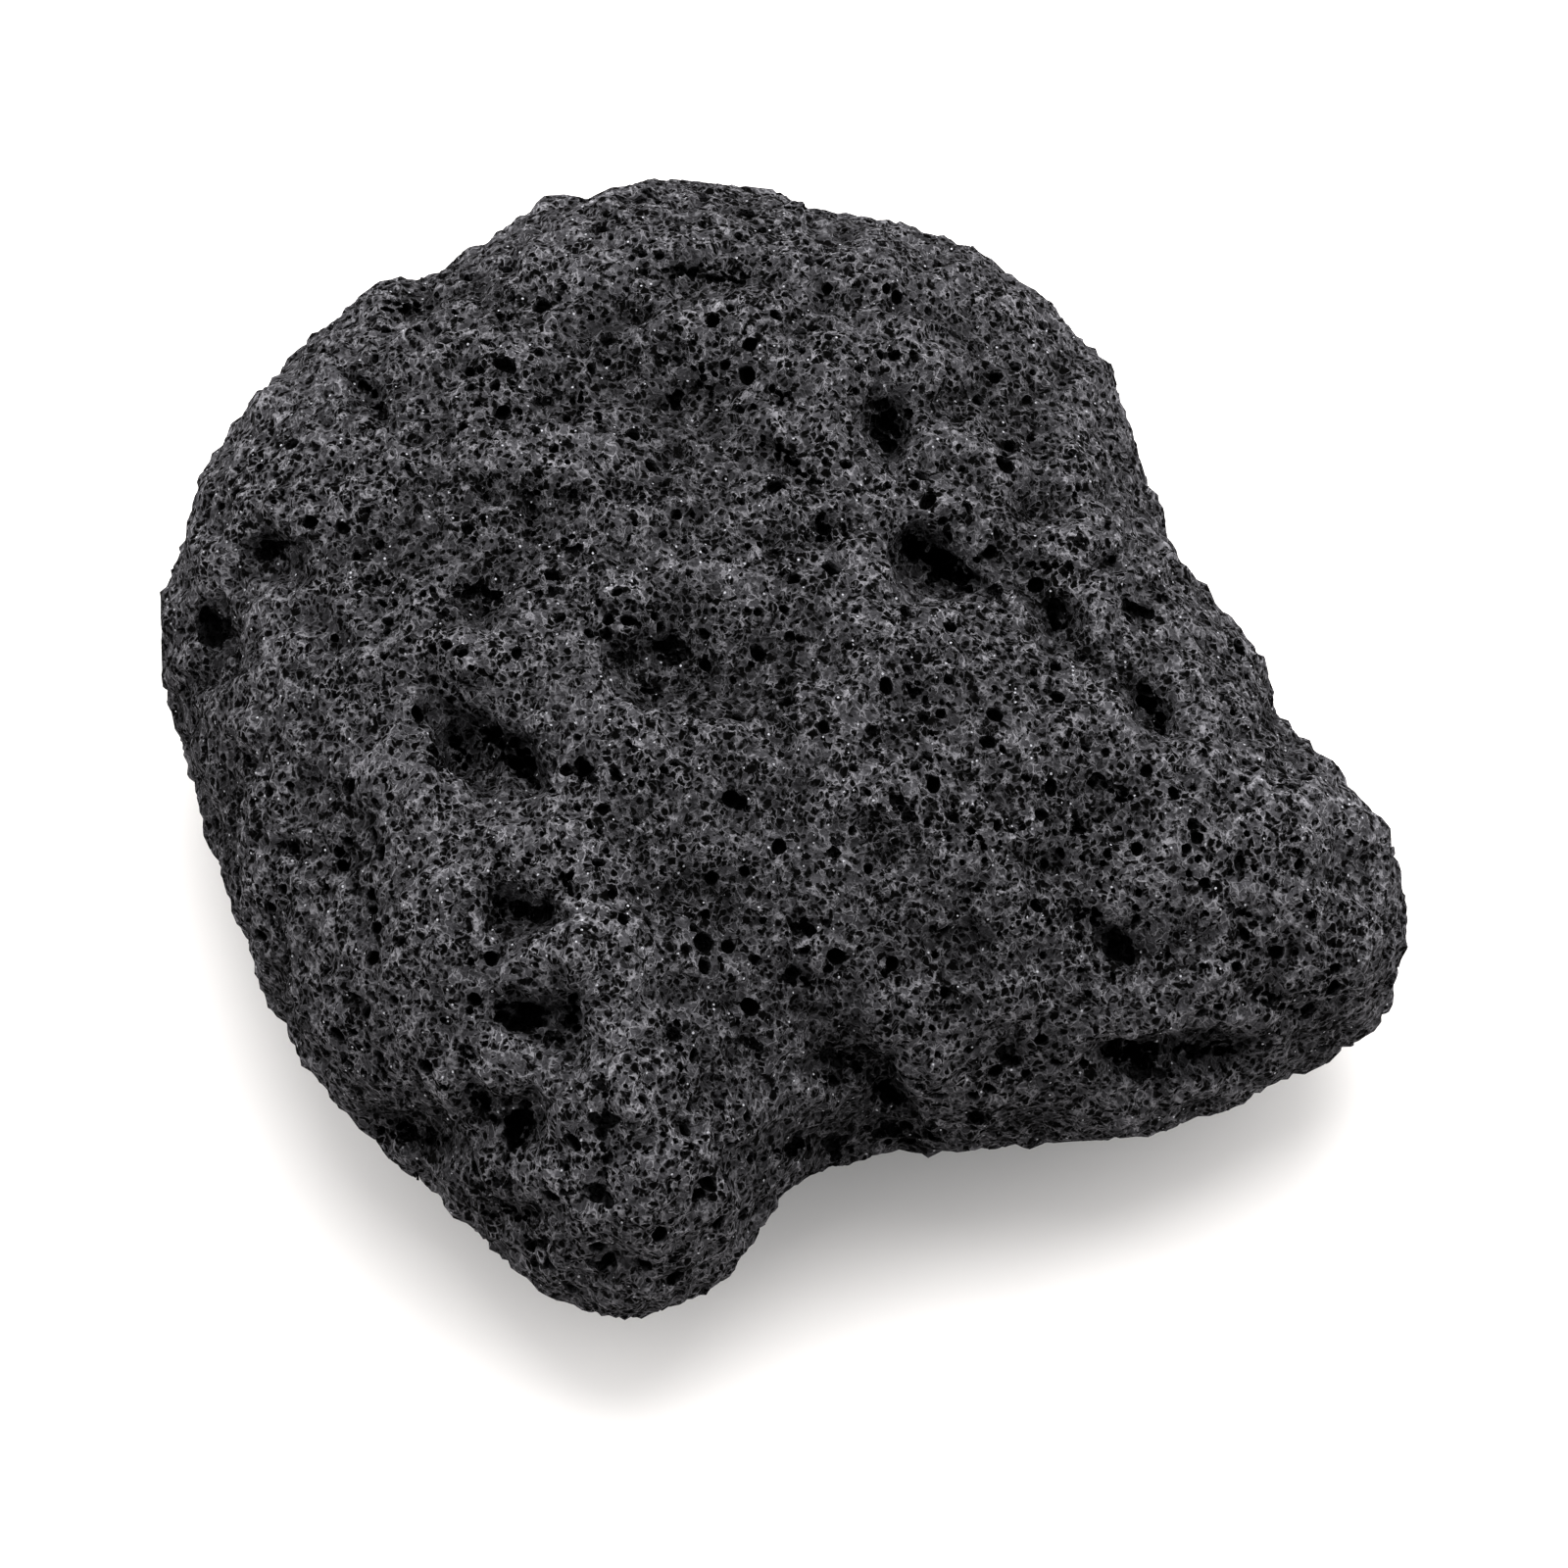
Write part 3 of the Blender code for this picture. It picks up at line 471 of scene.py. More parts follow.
def apart(bubbles):
    """The bubbles in as few lots as keep those that touch each other apart."""
    tree = KDTree(len(bubbles))
    for index, bubble in enumerate(bubbles):
        tree.insert(bubble.spot, index)
    tree.balance()
    widest = max(bubble.reach() for bubble in bubbles)
    lot_of = {}
    for index, bubble in enumerate(bubbles):
        near = tree.find_range(bubble.spot, bubble.reach() + widest)
        taken = {
            lot_of[other]
            for _, other, gap in near
            if other in lot_of and gap < LOT_GAP * (bubble.reach() + bubbles[other].reach())
        }
        lot_of[index] = min(set(range(len(taken) + 1)) - taken)
    lots = [[] for _ in range(max(lot_of.values()) + 1)]
    for index, lot in lot_of.items():
        lots[lot].append(bubbles[index])
    return lots


def board_direction(turn):
    """A direction on the board, this many degrees from level."""
    angle = math.radians(turn)
    return math.cos(angle) * RIGHT + math.sin(angle) * UP


def crowd(find, length, width, depth, chance):
    """A ragged crowd of bubbles that ran together: deep in its middle, shallow at its edge."""
    bubbles = []
    count = 4 + round(4.5 * length * width)
    for index in range(count):
        reach = math.sqrt((index + chance.random()) / count)
        around = chance.uniform(0, 2 * math.pi)
        found = find(0.95 * length * reach * math.cos(around), 0.95 * width * reach * math.sin(around))
        size = max(width * chance.uniform(0.35, 0.62) * (1.15 - 0.4 * reach), 0.34) * MM
        deep = max(depth * chance.uniform(0.6, 1.0) * (1 - 0.65 * reach**2) * MM, size)
        sway = chance.normal(0, 0.5)
        if found is None:
            continue
        spot, axis, along, across = found
        shape = ROUND_CUP if size > 0.45 * MM else SMALL_CUP
        along = math.cos(sway) * along + math.sin(sway) * across
        bubbles.append(Bubble(spot, axis, along, size * 1.35, size, deep, shape))
    return bubbles


def hollow_bubbles(tree, chance):
    """The torn hollows of the show face, which open towards the eye."""
    bubbles = []
    for right, up, length, width, turn, depth in HOLLOWS:
        along, across = board_direction(turn), board_direction(turn + 90)
        angle = math.radians(turn)

        def find(slide, stray):
            found = seen_at(
                tree,
                right + slide * math.cos(angle) - stray * math.sin(angle),
                up + slide * math.sin(angle) + stray * math.cos(angle),
            )
            return None if found is None else (found[0], 0.6 * found[1] + TOWARDS_EYE, along, across)

        bubbles += crowd(find, length, width, depth, chance)
    return bubbles


def hidden_hollow_bubbles(skin, tree, settings, chance):
    """Torn hollows like those on every side that the eye doesn't see."""
    points, normals = points_of(skin), normals_of(skin)
    hidden = np.flatnonzero(normals @ TOWARDS_EYE < HIDDEN_SIDE)
    chosen, bubbles = [], []
    for index in chance.permutation(hidden):
        spot, normal = points[index], normals[index]
        if len(chosen) == settings.hidden_hollows:
            break
        if any(np.linalg.norm(spot - other) < HIDDEN_GAP for other in chosen):
            continue
        chosen.append(spot)
        length = chance.uniform(*HIDDEN_LENGTH)
        width = chance.uniform(*HIDDEN_WIDTH)
        along = np.cross(normal, chance.normal(size=3))
        along /= np.linalg.norm(along)
        across = np.cross(normal, along)

        def find(slide, stray):
            place, facing, _, _ = tree.find_nearest(Vector(spot + (slide * along + stray * across) * MM))
            return np.array(place), 0.5 * np.array(facing) + normal, along, across

        bubbles += crowd(find, length, width, chance.uniform(*HIDDEN_DEPTH), chance)
    return bubbles


def large_bubbles(tree, chance):
    """The vesicles that stand out on the show face."""
    bubbles = []
    for right, up, radius in LARGE_VESICLES:
        found = seen_at(tree, right, up)
        if found is None:
            continue
        spot, normal = found
        size = 0.7 * radius * MM
        along = board_direction(chance.uniform(-90, 90))
        length = size * chance.uniform(1.0, 1.2)
        depth = size * VESICLE_DEPTH
        bubbles.append(Bubble(spot, normal + TOWARDS_EYE, along, length, size, depth, ROUND_CUP))
    return bubbles


def scattered_bubbles(skin, standing, settings, chance):
    """Vesicles all over the skin, thicker in some places than in others, clear of the ones that stand."""
    mesh = skin.data
    areas = np.empty(len(mesh.polygons), dtype=np.float32)
    mesh.polygons.foreach_get("area", areas)
    corners = np.array([tuple(face.vertices) for face in mesh.polygons])
    points, normals = points_of(skin), normals_of(skin)
    chosen = chance.choice(len(areas), size=settings.tries, p=areas / areas.sum())
    weights = chance.dirichlet((1.0, 1.0, 1.0), settings.tries)
    spots = np.einsum("ij,ijk->ik", weights, points[corners[chosen]])
    facing = np.einsum("ij,ijk->ik", weights, normals[corners[chosen]])
    radii = np.interp(chance.random(settings.tries), VESICLE_SHARES, VESICLE_RADII) * MM
    order = np.argsort(-radii)
    grid = {}

    def key(spot):
        return tuple(np.floor(spot / GRID_CELL).astype(int))

    def crowded(spot, radius):
        home = key(spot)
        for x in (-1, 0, 1):
            for y in (-1, 0, 1):
                for z in (-1, 0, 1):
                    for other, size in grid.get((home[0] + x, home[1] + y, home[2] + z), ()):
                        if np.sum((spot - other) ** 2) < (CROWDED * (radius + size)) ** 2:
                            return True
        return False

    for bubble in standing:
        grid.setdefault(key(bubble.spot), []).append((bubble.spot, bubble.width))
    bubbles = []
    for index in order:
        spot, normal, radius = spots[index], facing[index], radii[index]
        richness = RICHNESS + RICHNESS_SWING * noise.noise(Vector(spot / RICHNESS_SPACING))
        if normal[2] < UNDERSIDE:
            richness *= UNDERSIDE_SHARE
        if chance.random() > richness or crowded(spot, radius):
            continue
        grid.setdefault(key(spot), []).append((spot, radius))
        stretch = 1 + 0.7 * chance.random() ** 2
        flow = board_direction(DRIFT + chance.normal(0, DRIFT_SCATTER)) + 0.4 * TOWARDS_EYE
        shape = ROUND_CUP if radius > 0.5 * MM else SMALL_CUP
        width = radius / math.sqrt(stretch)
        bubbles.append(Bubble(spot, normal, flow, width * stretch, width, radius * VESICLE_DEPTH, shape))
    return bubbles


def pit(skin, settings):
    """Cuts every bubble out of the skin."""
    chance = np.random.default_rng(SEED)
    tree = tree_of(skin)
    bubbles = hollow_bubbles(tree, chance) + large_bubbles(tree, chance)
    bubbles += hidden_hollow_bubbles(skin, tree, settings, chance)
    bubbles += scattered_bubbles(skin, bubbles, settings, chance)
    cups = {shape: model_cup(*shape) for shape in (SMALL_CUP, ROUND_CUP)}
    for lot in apart(bubbles):
        cutter = cutter_of(lot, cups, chance)
        apply_modifier(skin, "BOOLEAN", object=cutter, operation="DIFFERENCE", solver="MANIFOLD")
        bpy.data.objects.remove(cutter)


def height_over(points, tree):
    """How far each point stands over this surface, in millimetres, and how far that surface faces up."""
    heights, upwards = [], []
    for point in points:
        nearest, normal, _, gap = tree.find_nearest(Vector(point))
        heights.append(math.copysign(gap, (Vector(point) - nearest).dot(normal)) / MM)
        upwards.append(normal.z)
    return np.array(heights, dtype=np.float32), np.array(upwards, dtype=np.float32)


def keep_on_points(skin, name, values):
    """Keeps a number on each point for the basalt to read."""
    kept = skin.data.attributes.new(name, "FLOAT", "POINT")
    kept.data.foreach_set("value", values)


def drop_crumbs(skin):
    """Takes away every part that the bubbles cut loose from the rock."""
    take(skin)
    outermost = int(np.argmax(np.linalg.norm(points_of(skin), axis=1)))
    bpy.ops.object.mode_set(mode="EDIT")
    bpy.ops.mesh.select_all(action="DESELECT")
    bpy.ops.object.mode_set(mode="OBJECT")
    skin.data.vertices[outermost].select = True
    bpy.ops.object.mode_set(mode="EDIT")
    bpy.ops.mesh.select_linked()
    bpy.ops.mesh.select_all(action="INVERT")
    bpy.ops.mesh.delete(type="VERT")
    bpy.ops.object.mode_set(mode="OBJECT")


# ---------------------------------------------------------------------------- flat map

# Rounds of relaxing and the gap between the sheets of the flat map, and how far the seams are smoothed.
SHEET_ROUNDS = 5
SHEET_MARGIN = 0.002
SEAM_ROUNDS = 12
# The ways that the sheets face. A surface between two goes to the one it faces more.
SHEET_WAYS = np.array([(1, 0, 0), (-1, 0, 0), (0, 1, 0), (0, -1, 0), (0, 0, 1.15), (0, 0, -1.15)])


def lay_out(skin, mean_level):
    """Unfolds the skin in six sheets, each with its vesicles, for colours to be baked through."""
    mesh = skin.data
    count = len(mesh.polygons)
    centres = np.empty(count * 3, dtype=np.float32)
    mesh.polygons.foreach_get("center", centres)
    facing = np.array([mean_level.find_nearest(Vector(centre))[1] for centre in centres.reshape(-1, 3)])
    scores = facing @ SHEET_WAYS.T
    edge_of_corner = np.empty(len(mesh.loops), dtype=np.int32)
    mesh.loops.foreach_get("edge_index", edge_of_corner)
    order = np.argsort(edge_of_corner, kind="stable")
    first, second = np.repeat(np.arange(count), 3)[order].reshape(-1, 2).T
    for _ in range(SEAM_ROUNDS):
        spread = scores.copy()
        np.add.at(spread, first, scores[second])
        np.add.at(spread, second, scores[first])
        scores = spread / 4
    sheet = scores.argmax(axis=1)
    seams = np.zeros(len(mesh.edges), dtype=bool)
    seams[edge_of_corner[order][::2]] = sheet[first] != sheet[second]
    mesh.edges.foreach_set("use_seam", seams)
    mesh.uv_layers.active = mesh.uv_layers.new(name="OFBake")
    take(skin)
    bpy.ops.object.mode_set(mode="EDIT")
    bpy.ops.mesh.select_all(action="SELECT")
    bpy.ops.uv.unwrap(method="MINIMUM_STRETCH", iterations=SHEET_ROUNDS, margin=SHEET_MARGIN)
    bpy.ops.uv.select_all(action="SELECT")
    bpy.ops.uv.average_islands_scale()
    bpy.ops.uv.pack_islands(margin=SHEET_MARGIN, shape_method="CONCAVE")
    bpy.ops.object.mode_set(mode="OBJECT")


# ---------------------------------------------------------------------------- basalt


class Wire:
    """A socket of a material's nodes, on which arithmetic adds Math nodes."""

    def __init__(self, finish, socket):
        self.finish = finish
        self.socket = socket

    def maths(self, operation, first, second):
        return self.finish.node("ShaderNodeMath", {"operation": operation}, {0: first, 1: second})

    def __add__(self, other):
        return self.maths("ADD", self, other)

    def __radd__(self, other):
        return self.maths("ADD", other, self)

    def __sub__(self, other):
        return self.maths("SUBTRACT", self, other)

    def __rsub__(self, other):
        return self.maths("SUBTRACT", other, self)

    def __mul__(self, other):
        return self.maths("MULTIPLY", self, other)

    def __rmul__(self, other):
        return self.maths("MULTIPLY", other, self)

    def __pow__(self, other):
        return self.maths("POWER", self, other)


class Finish:
    """The nodes of a material or of the sky, with one way to add any node to them."""

    def __init__(self, owner):
        self.owner = owner
        owner.use_nodes = True
        self.tree = owner.node_tree
        self.shader = self.tree.nodes[0]

    def node(self, kind, settings, sockets, output=0):
        """Adds a node: its settings first, then the values or wires of its sockets."""
        made = self.tree.nodes.new(kind)
        for name, value in settings.items():
            setattr(made, name, value)
        for name, value in sockets.items():
            self.feed(made.inputs[name], value)
        return Wire(self, made.outputs[output])

    def feed(self, socket, value):
        if isinstance(value, Wire):
            self.tree.links.new(value.socket, socket)
        else:
            socket.default_value = value

    def ease(self, value, low, high):
        """0 below low, 1 above high, and a smooth rise between them."""
        sockets = {"Value": value, "From Min": low, "From Max": high}
        return self.node("ShaderNodeMapRange", {"interpolation_type": "SMOOTHSTEP"}, sockets)

    def stronger(self, first, second):
        return self.node("ShaderNodeMath", {"operation": "MAXIMUM"}, {0: first, 1: second})

    def mix(self, share, first, second):
        """One colour over another."""
        sockets = {0: share, 6: first, 7: second}
        return self.node("ShaderNodeMix", {"data_type": "RGBA"}, sockets, output=2)

    def greys(self, place, spacing, detail, output="Fac"):
        """Noise with this spacing."""
        sockets = {"Vector": place, "Scale": 1 / spacing, "Detail": detail}
        return self.node("ShaderNodeTexNoise", {"noise_type": "FBM"}, sockets, output)

    def cells(self, place, spacing, feature="DISTANCE_TO_EDGE", output="Distance"):
        """Cells with this spacing: the distance to their edges, or one cell's own values."""
        sockets = {"Vector": place, "Scale": 1 / spacing}
        return self.node("ShaderNodeTexVoronoi", {"feature": feature}, sockets, output)

    def picked(self, place, spacing):
        """A number of its own, from 0 to 1, for each cell."""
        return self.node("ShaderNodeSeparateColor", {}, {"Color": self.cells(place, spacing, "F1", "Color")})

    def spots(self, place, spacing, inner, outer):
        """A round spot in each cell: 1 inside the inner radius and 0 past the outer one, in spacings."""
        return 1 - self.ease(self.cells(place, spacing, "F1"), inner, outer)

    def moved(self, place, shift, amount):
        """The place pushed about by a colour that lies round mid grey."""
        centred = self.node(
            "ShaderNodeVectorMath", {"operation": "SUBTRACT"}, {0: shift, 1: (0.5, 0.5, 0.5)}
        )
        scaled = self.node("ShaderNodeVectorMath", {"operation": "SCALE"}, {0: centred, "Scale": amount})
        return self.node("ShaderNodeVectorMath", {"operation": "ADD"}, {0: place, 1: scaled})


# Spacings in the basalt.
STIR_SPACING = 0.9 * MM
TREMOR_SPACING = 0.4 * MM
PINHOLE_SPACING = 1.0 * MM
SPECK_SPACING = 0.62 * MM
PORE_SPACING = 1.7 * MM
CROWD_SPACING = 3.2 * MM
GRAIN_SPACING = 0.33 * MM
CLUMP_SPACING = 1.7 * MM
PATCH_SPACING = 6 * MM
CRYSTAL_GLINT_SPACING = 0.42 * MM
BUMP_HEIGHT = 0.2 * MM

# How far out of a hollow's edge the basalt is torn, in millimetres, and which side can be torn.
TORN_SPREAD = 0.5
TORN_SIDE = -0.2


class LavaRockFinish(bpy.types.PropertyGroup):
    """Colours and sizes of the basalt."""

    froth: bpy.props.FloatProperty(
        name="Froth", description="Spacing of the froth's smallest cells", default=0.7 * MM, unit="LENGTH"
    )
    # Deep is painted shade: the dark inside the cells, pores, pinholes, pits and hollows.
    deep: bpy.props.FloatVectorProperty(
        name="Deep", description="Colour inside the cells", subtype="COLOR", default=(0.003, 0.0028, 0.0026)
    )
    body: bpy.props.FloatVectorProperty(
        name="Body", description="Colour of the basalt", subtype="COLOR", default=(0.084, 0.0825, 0.0885)
    )
    # Ridge is painted light: the lighter colour of the froth's rims, standing for their lit crests.
    ridge: bpy.props.FloatVectorProperty(
        name="Ridge", description="Colour of the rubbed ridges", subtype="COLOR", default=(0.24, 0.236, 0.249)
    )
    # Glint is a painted highlight: bright specks that stand for glints on the crystals.
    glint: bpy.props.FloatVectorProperty(
        name="Glint", description="Colour of the crystals", subtype="COLOR", default=(0.42, 0.42, 0.44)
    )


def torn_at(points, normals):
    """How far inside a torn hollow of the show face these points lie, from 0 to 1."""
    board = on_board(points) / MM
    inside = np.zeros(len(points))
    for mark in HOLLOWS:
        inside = np.maximum(inside, inside_mark(board, mark, TORN_SPREAD))
    return np.where(normals @ TOWARDS_EYE > TORN_SIDE, inside, 0)


def four(colour):
    return (*colour, 1.0)


def basalt(settings):
    """Charcoal basalt: a froth of cells with rims in painted light, pores and pinholes in painted shade,
    painted shade in pits and hollows, and a few crystals with painted glints.
    """
    finish = Finish(bpy.data.materials.new("basalt"))

    place = finish.node("ShaderNodeTexCoord", {}, {}, "Object")
    below = finish.node("ShaderNodeAttribute", {"attribute_name": "below_skin"}, {}, "Fac")
    raised = finish.node("ShaderNodeAttribute", {"attribute_name": "raised"}, {}, "Fac")
    upward = finish.node("ShaderNodeAttribute", {"attribute_name": "upward"}, {}, "Fac")
    torn = finish.ease(finish.node("ShaderNodeAttribute", {"attribute_name": "torn"}, {}, "Fac"), 0.0, 0.3)
    stir = finish.greys(place, STIR_SPACING, 2, output="Color")
    bent = finish.moved(place, stir, 0.8 * MM)
    tremor = finish.greys(place, TREMOR_SPACING, 1, output="Color")
    twisted = finish.moved(bent, tremor, 0.35 * MM)

    # Two nets of thin rims that cross, each broken into strokes. The wide one is drawn out one way.
    drawn_out = {"Vector": bent, "Rotation": (0.3, 0.4, 0.95), "Scale": (1, 0.4, 1)}
    turned = finish.node("ShaderNodeMapping", {}, drawn_out)
    wide_net = 1 - finish.ease(finish.cells(turned, settings.froth * 1.1), 0.03, 0.12)
    fine_net = 1 - finish.ease(finish.cells(twisted, settings.froth), 0.04, 0.14)
    wide_strokes = finish.ease(finish.greys(place, 1.2 * MM, 1), 0.38, 0.56)
    fine_strokes = finish.ease(finish.greys(bent, 0.6 * MM, 1), 0.38, 0.6)
    line = finish.stronger(wide_net * wide_strokes, fine_net * fine_strokes * 0.8)

    # Open cells, pinholes, specks and pores, painted dark in the deep colour as the shade inside holes. The
    # first two come in crowds.
    crowd_here = finish.greys(place, CROWD_SPACING, 2) * 1.5 - 0.75
    open_here = finish.ease(finish.picked(twisted, settings.froth) + crowd_here, 0.6, 0.64)
    open_cell = open_here * finish.ease(finish.cells(twisted, settings.froth), 0.08, 0.2)
    pinhole_here = finish.ease(finish.picked(bent, PINHOLE_SPACING) + crowd_here, 0.16, 0.18)
    pinhole = finish.spots(bent, PINHOLE_SPACING, 0.3, 0.35) * pinhole_here
    speck_here = finish.ease(finish.picked(bent, SPECK_SPACING), 0.5, 0.52)
    speck = finish.spots(bent, SPECK_SPACING, 0.29, 0.37) * speck_here
    pore_here = finish.ease(finish.picked(twisted, PORE_SPACING), 0.76, 0.78)
    pore = finish.spots(twisted, PORE_SPACING, 0.27, 0.32) * pore_here
    gap = finish.stronger(finish.stronger(open_cell, pore), finish.stronger(pinhole, speck * 0.9))

    grain = finish.ease(finish.greys(twisted, GRAIN_SPACING, 2), 0.3, 0.7)
    clump = finish.ease(finish.greys(place, CLUMP_SPACING, 3), 0.34, 0.64)
    patch = finish.ease(finish.greys(place, PATCH_SPACING, 3), 0.3, 0.7)
    # Painted shade in the hollows and painted light on the swells, from the height over the skin's mean
    # level.
    hollow_shade = finish.ease(raised, -1.0, 0.9)

    # Painted glints: bright specks in the glint colour, which are also less rough.
    crystal_glint_here = finish.ease(finish.picked(place, CRYSTAL_GLINT_SPACING), 0.955, 0.96)
    crystal_glint = crystal_glint_here * finish.spots(place, CRYSTAL_GLINT_SPACING, 0.2, 0.34)
    # Painted shade: below the skin it is dark, and less so in the torn hollows until they are deep.
    shade = finish.ease(below, 0.1, 0.65) * (0.95 - 0.3 * torn) + finish.ease(below, 0.7, 2.0) * torn * 0.25

    # Painted shade on the faces that turn down, and painted light on those that face up.
    painted_light = 0.74 + 0.26 * finish.ease(upward, -0.2, 0.85)
    # The ground's share of body colour, lower as painted shade where the bump's clumps and grain sink, with
    # patches of tone.
    light = (0.25 + 0.45 * grain + 0.35 * clump) * (0.55 + 0.75 * hollow_shade) * (0.9 + 0.2 * patch) * painted_light
    ground = finish.mix(light, four(settings.deep), four(settings.body))
    # The rims take the ridge colour as painted light on their crests, less of it in the hollows and on the
    # faces turned down.
    rim = line * (0.45 + 0.6 * clump) * (0.45 + 0.6 * hollow_shade) * painted_light
    lined = finish.mix(rim, ground, four(settings.ridge))
    holed = finish.mix(gap * (1 - 0.4 * line), lined, four(settings.deep))
    glinting = finish.mix(crystal_glint, holed, four(settings.glint))
    colour = finish.mix(shade, glinting, four(settings.deep))
    finish.feed(finish.shader.inputs["Base Color"], colour)
    finish.feed(finish.shader.inputs["Roughness"], 0.85 - 0.1 * line - 0.45 * crystal_glint)
    height = line * 0.5 - gap * 1.1 + clump * 1.0 + grain * 0.3
    bump = finish.node("ShaderNodeBump", {}, {"Strength": 1.0, "Distance": BUMP_HEIGHT, "Height": height})
    finish.feed(finish.shader.inputs["Normal"], bump)
    finish.feed(finish.shader.inputs["Specular IOR Level"], 0.02)
    return finish.owner


# ---------------------------------------------------------------------------- operators


# The last unevenness, pushed in after the vesicles, and the sharpest edge that is shaded smooth.
LAST_GRIT = 0.16 * MM
LAST_GRIT_SPACING = 0.8 * MM
SMOOTH_EDGE = math.radians(42)


class LAVA_OT_rock(bpy.types.Operator):
    """Dress the lava rock's solid with its skin, its vesicles and its basalt"""

    bl_idname = "lava.rock"
    bl_label = "Lava Rock"

    def execute(self, context):
        skin, mean_level = worn_skin(context.scene.lava_skin)
        before = tree_of(skin)
        pit(skin, context.scene.lava_skin)
        drop_crumbs(skin)
        faces = sum(len(face.vertices) - 2 for face in skin.data.polygons)
        apply_modifier(skin, "DECIMATE", ratio=min(1, SKIN_TRIANGLES / faces), use_collapse_triangulate=True)
        if not 0 < len(skin.data.polygons) < TRIANGLE_LIMIT:
            raise RuntimeError("the skin of the lava rock did not come out whole")
        points = points_of(skin)
        rough = np.array([noise.noise(Vector(point) / LAST_GRIT_SPACING) for point in points])
        put(skin, points + normals_of(skin) * (LAST_GRIT * rough)[:, None])
        depth = np.maximum(-height_over(points_of(skin), before)[0], 0)
        raised, upward = height_over(points_of(skin), mean_level)
        raised += depth
        # The basalt's painted shade reads these: below_skin in the pits, raised over the hollows and swells,
        # upward on the faces.
        keep_on_points(skin, "below_skin", depth)
        keep_on_points(skin, "torn", torn_at(points_of(skin), normals_of(skin)))
        keep_on_points(skin, "raised", raised - np.median(raised))
        keep_on_points(skin, "upward", upward)
        lay_out(skin, mean_level)
        take(skin)
        bpy.ops.object.shade_smooth_by_angle(angle=SMOOTH_EDGE)
        skin.data.materials.clear()
        skin.data.materials.append(basalt(context.scene.lava_finish))
        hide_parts(NODE)
        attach(skin, "root")
        return {"FINISHED"}


# The floor, the soft light's place, the lens and the picture's brightness.
FLOOR_SIZE = 12
KEY_PLACE = Vector((0.05, 0.22, 0.82))
SENSOR_WIDTH = 36.0
NEAREST_SEEN = 0.01
FARTHEST_SEEN = 50.0
EXPOSURE = 1.25
GAMMA = 0.75


class LavaRockStage(bpy.types.PropertyGroup):
    """The floor, the light and the lens."""

    sky: bpy.props.FloatProperty(name="Sky", description="Strength of the light from all round", default=0.7)
    slope: bpy.props.FloatProperty(
        name="Slope", description="How much brighter that light is behind the rock than in front", default=0.6
    )
    sides: bpy.props.FloatProperty(
        name="Sides", description="How much brighter that light is to the left and right", default=1.2
    )
    table: bpy.props.FloatProperty(
        name="Table", description="Light that the floor gives by itself", default=0.1
    )
    key: bpy.props.FloatProperty(name="Key", description="Power of the soft light", default=3.0, unit="POWER")
    key_size: bpy.props.FloatProperty(
        name="Key Size", description="Side of the soft light", default=0.8, unit="LENGTH"
    )


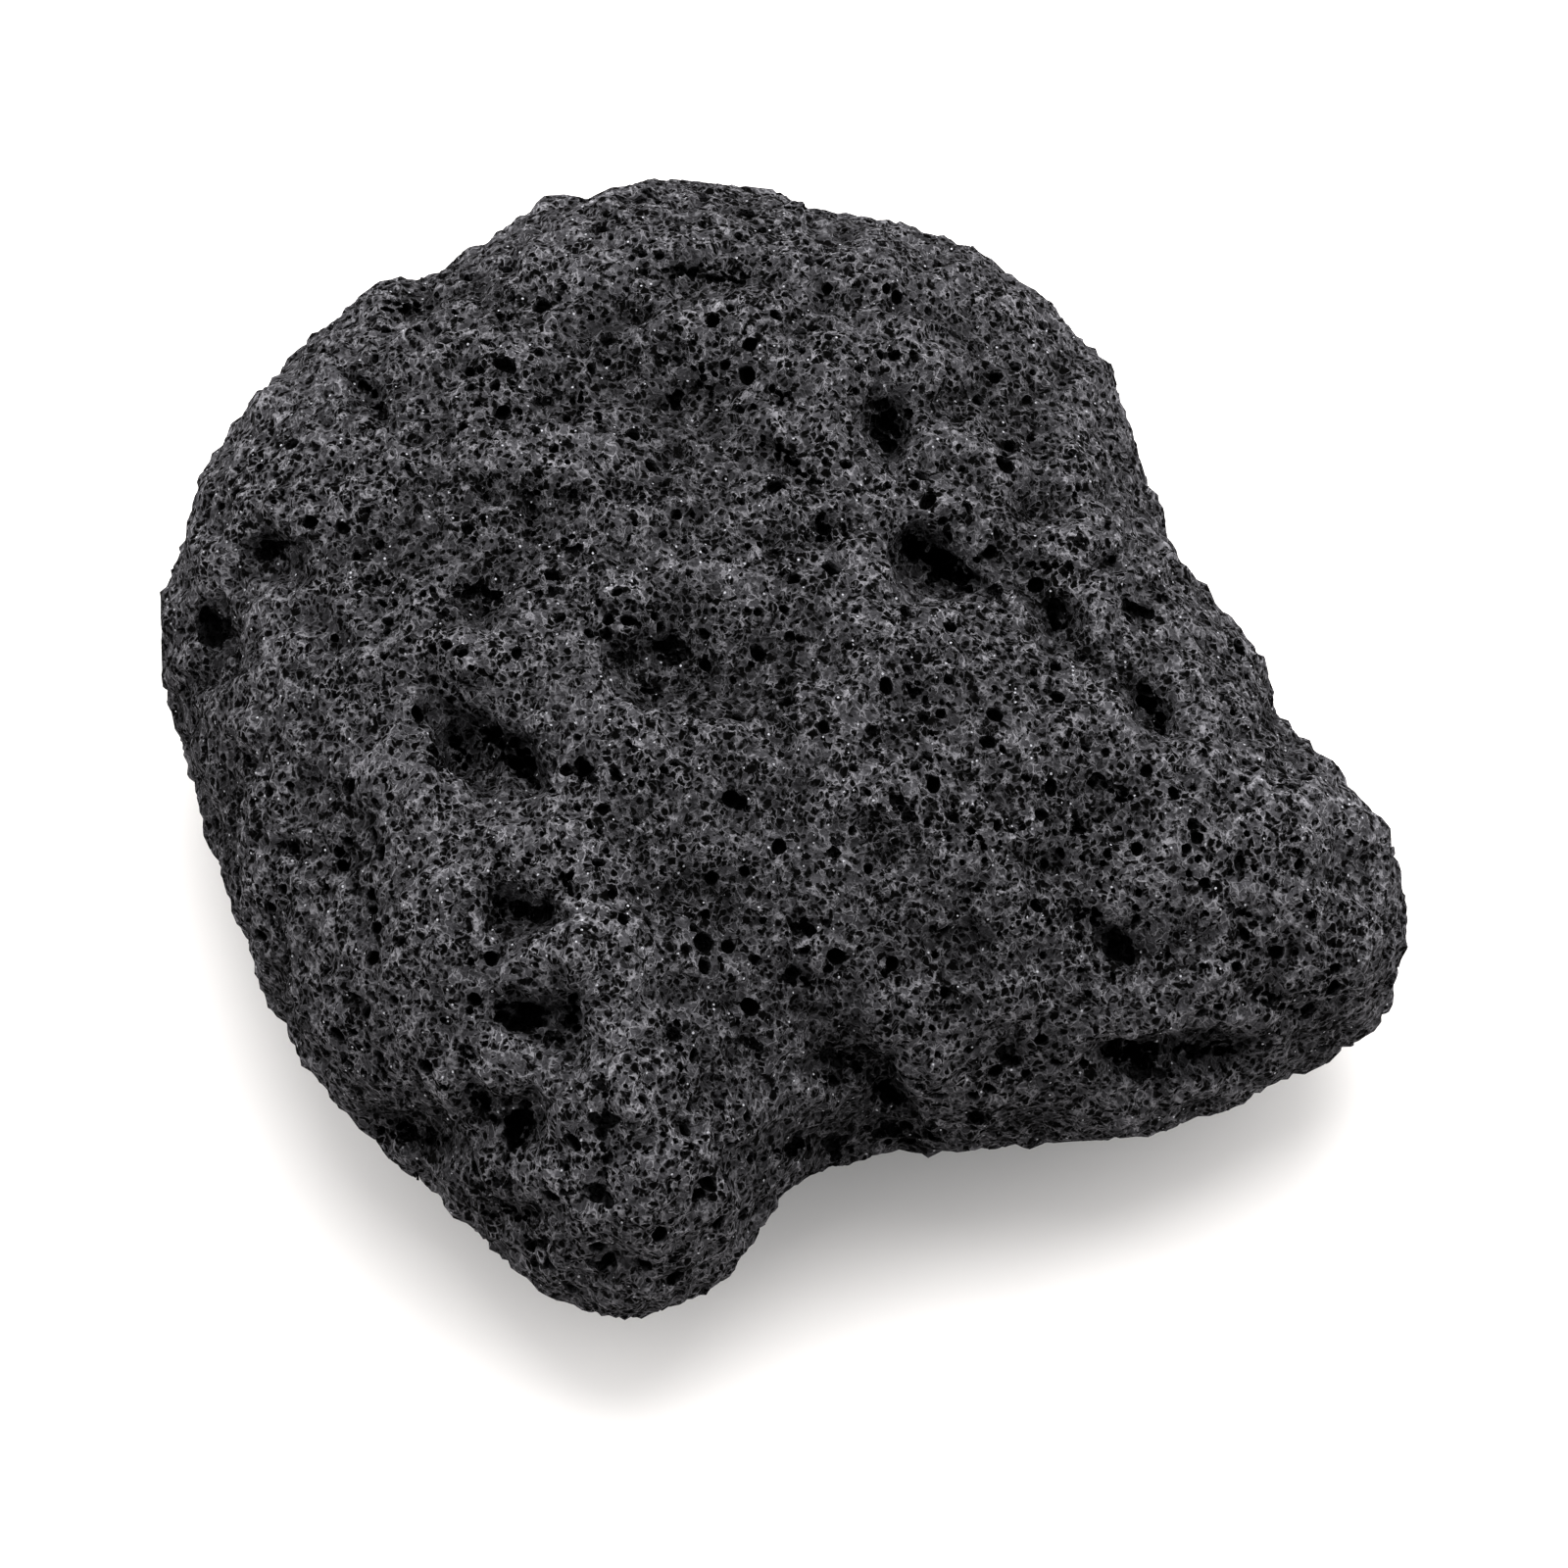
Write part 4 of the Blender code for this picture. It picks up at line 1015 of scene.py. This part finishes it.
class LAVA_OT_stage(bpy.types.Operator):
    """Set the pale floor, the soft light and the camera"""

    bl_idname = "lava.stage"
    bl_label = "Stage"

    def execute(self, context):
        settings = context.scene.lava_stage
        deselect()
        bpy.ops.mesh.primitive_plane_add(size=FLOOR_SIZE, location=(0, 0, 0))
        floor = context.object
        floor.name = floor.data.name = "floor"
        paper = Finish(bpy.data.materials.new("paper"))
        paper.feed(paper.shader.inputs["Base Color"], (0.7, 0.682, 0.67, 1))
        paper.feed(paper.shader.inputs["Roughness"], 0.95)
        paper.feed(paper.shader.inputs["Specular IOR Level"], 0.0)
        paper.feed(paper.shader.inputs["Emission Color"], (1, 1, 1, 1))
        paper.feed(paper.shader.inputs["Emission Strength"], settings.table)
        floor.data.materials.append(paper.owner)

        world = bpy.data.worlds.new("sky")
        sky = Finish(world)
        way = sky.node("ShaderNodeTexCoord", {}, {}, "Generated")
        across = sky.node("ShaderNodeSeparateXYZ", {}, {"Vector": way}, "X")
        back = sky.node("ShaderNodeSeparateXYZ", {}, {"Vector": way}, "Y")
        evened = 1 - settings.sides / 3
        strength = settings.sky * (evened + settings.sides * across**2 + settings.slope * back)
        background = sky.tree.nodes["Background"]
        sky.feed(background.inputs["Color"], (1, 1, 1, 1))
        sky.feed(background.inputs["Strength"], sky.stronger(strength, 0))
        context.scene.world = world

        bpy.ops.object.light_add(type="AREA", location=KEY_PLACE)
        key = context.object
        key.name = "key"
        key.data.shape = "DISK"
        key.data.size = settings.key_size
        key.data.energy = settings.key
        key.rotation_euler = KEY_PLACE.to_track_quat("Z", "Y").to_euler()

        deselect()
        lens_place = BOARD_CENTRE + TOWARDS_EYE * EYE_RANGE - UP * LENS_DROP
        bpy.ops.object.camera_add(location=lens_place, rotation=(math.pi / 2 - EYE_ELEVATION, 0, 0))
        camera = context.object
        camera.data.sensor_width = SENSOR_WIDTH
        camera.data.lens = SENSOR_WIDTH * EYE_RANGE / BOARD_WIDTH
        camera.data.clip_start = NEAREST_SEEN
        camera.data.clip_end = FARTHEST_SEEN
        context.scene.camera = camera
        context.scene.view_settings.view_transform = "Standard"
        context.scene.view_settings.exposure = EXPOSURE
        context.scene.view_settings.gamma = GAMMA
        return {"FINISHED"}


class LAVA_PT_panel(bpy.types.Panel):
    """Lists what the lava rock is made of"""

    bl_label = "Lava Rock"
    bl_idname = "LAVA_PT_panel"
    bl_space_type = "VIEW_3D"
    bl_region_type = "UI"
    bl_category = "Lava Rock"

    def draw(self, context):
        for settings in (context.scene.lava_skin, context.scene.lava_finish, context.scene.lava_stage):
            for name in settings.__annotations__:
                self.layout.prop(settings, name)
        for step in STEPS:
            self.layout.operator(step.bl_idname)


SETTINGS = {"lava_skin": LavaRockSkin, "lava_finish": LavaRockFinish, "lava_stage": LavaRockStage}
STEPS = (LAVA_OT_stage, LAVA_OT_rock)


def register():
    for name, group in SETTINGS.items():
        bpy.utils.register_class(group)
        setattr(bpy.types.Scene, name, bpy.props.PointerProperty(type=group))
    for step in (*STEPS, LAVA_PT_panel):
        bpy.utils.register_class(step)


def unregister():
    for step in (LAVA_PT_panel, *reversed(STEPS)):
        bpy.utils.unregister_class(step)
    for name, group in SETTINGS.items():
        delattr(bpy.types.Scene, name)
        bpy.utils.unregister_class(group)


def main():
    register()
    bpy.ops.lava.stage()
    bpy.ops.lava.rock()


if __name__ == "__main__":
    main()
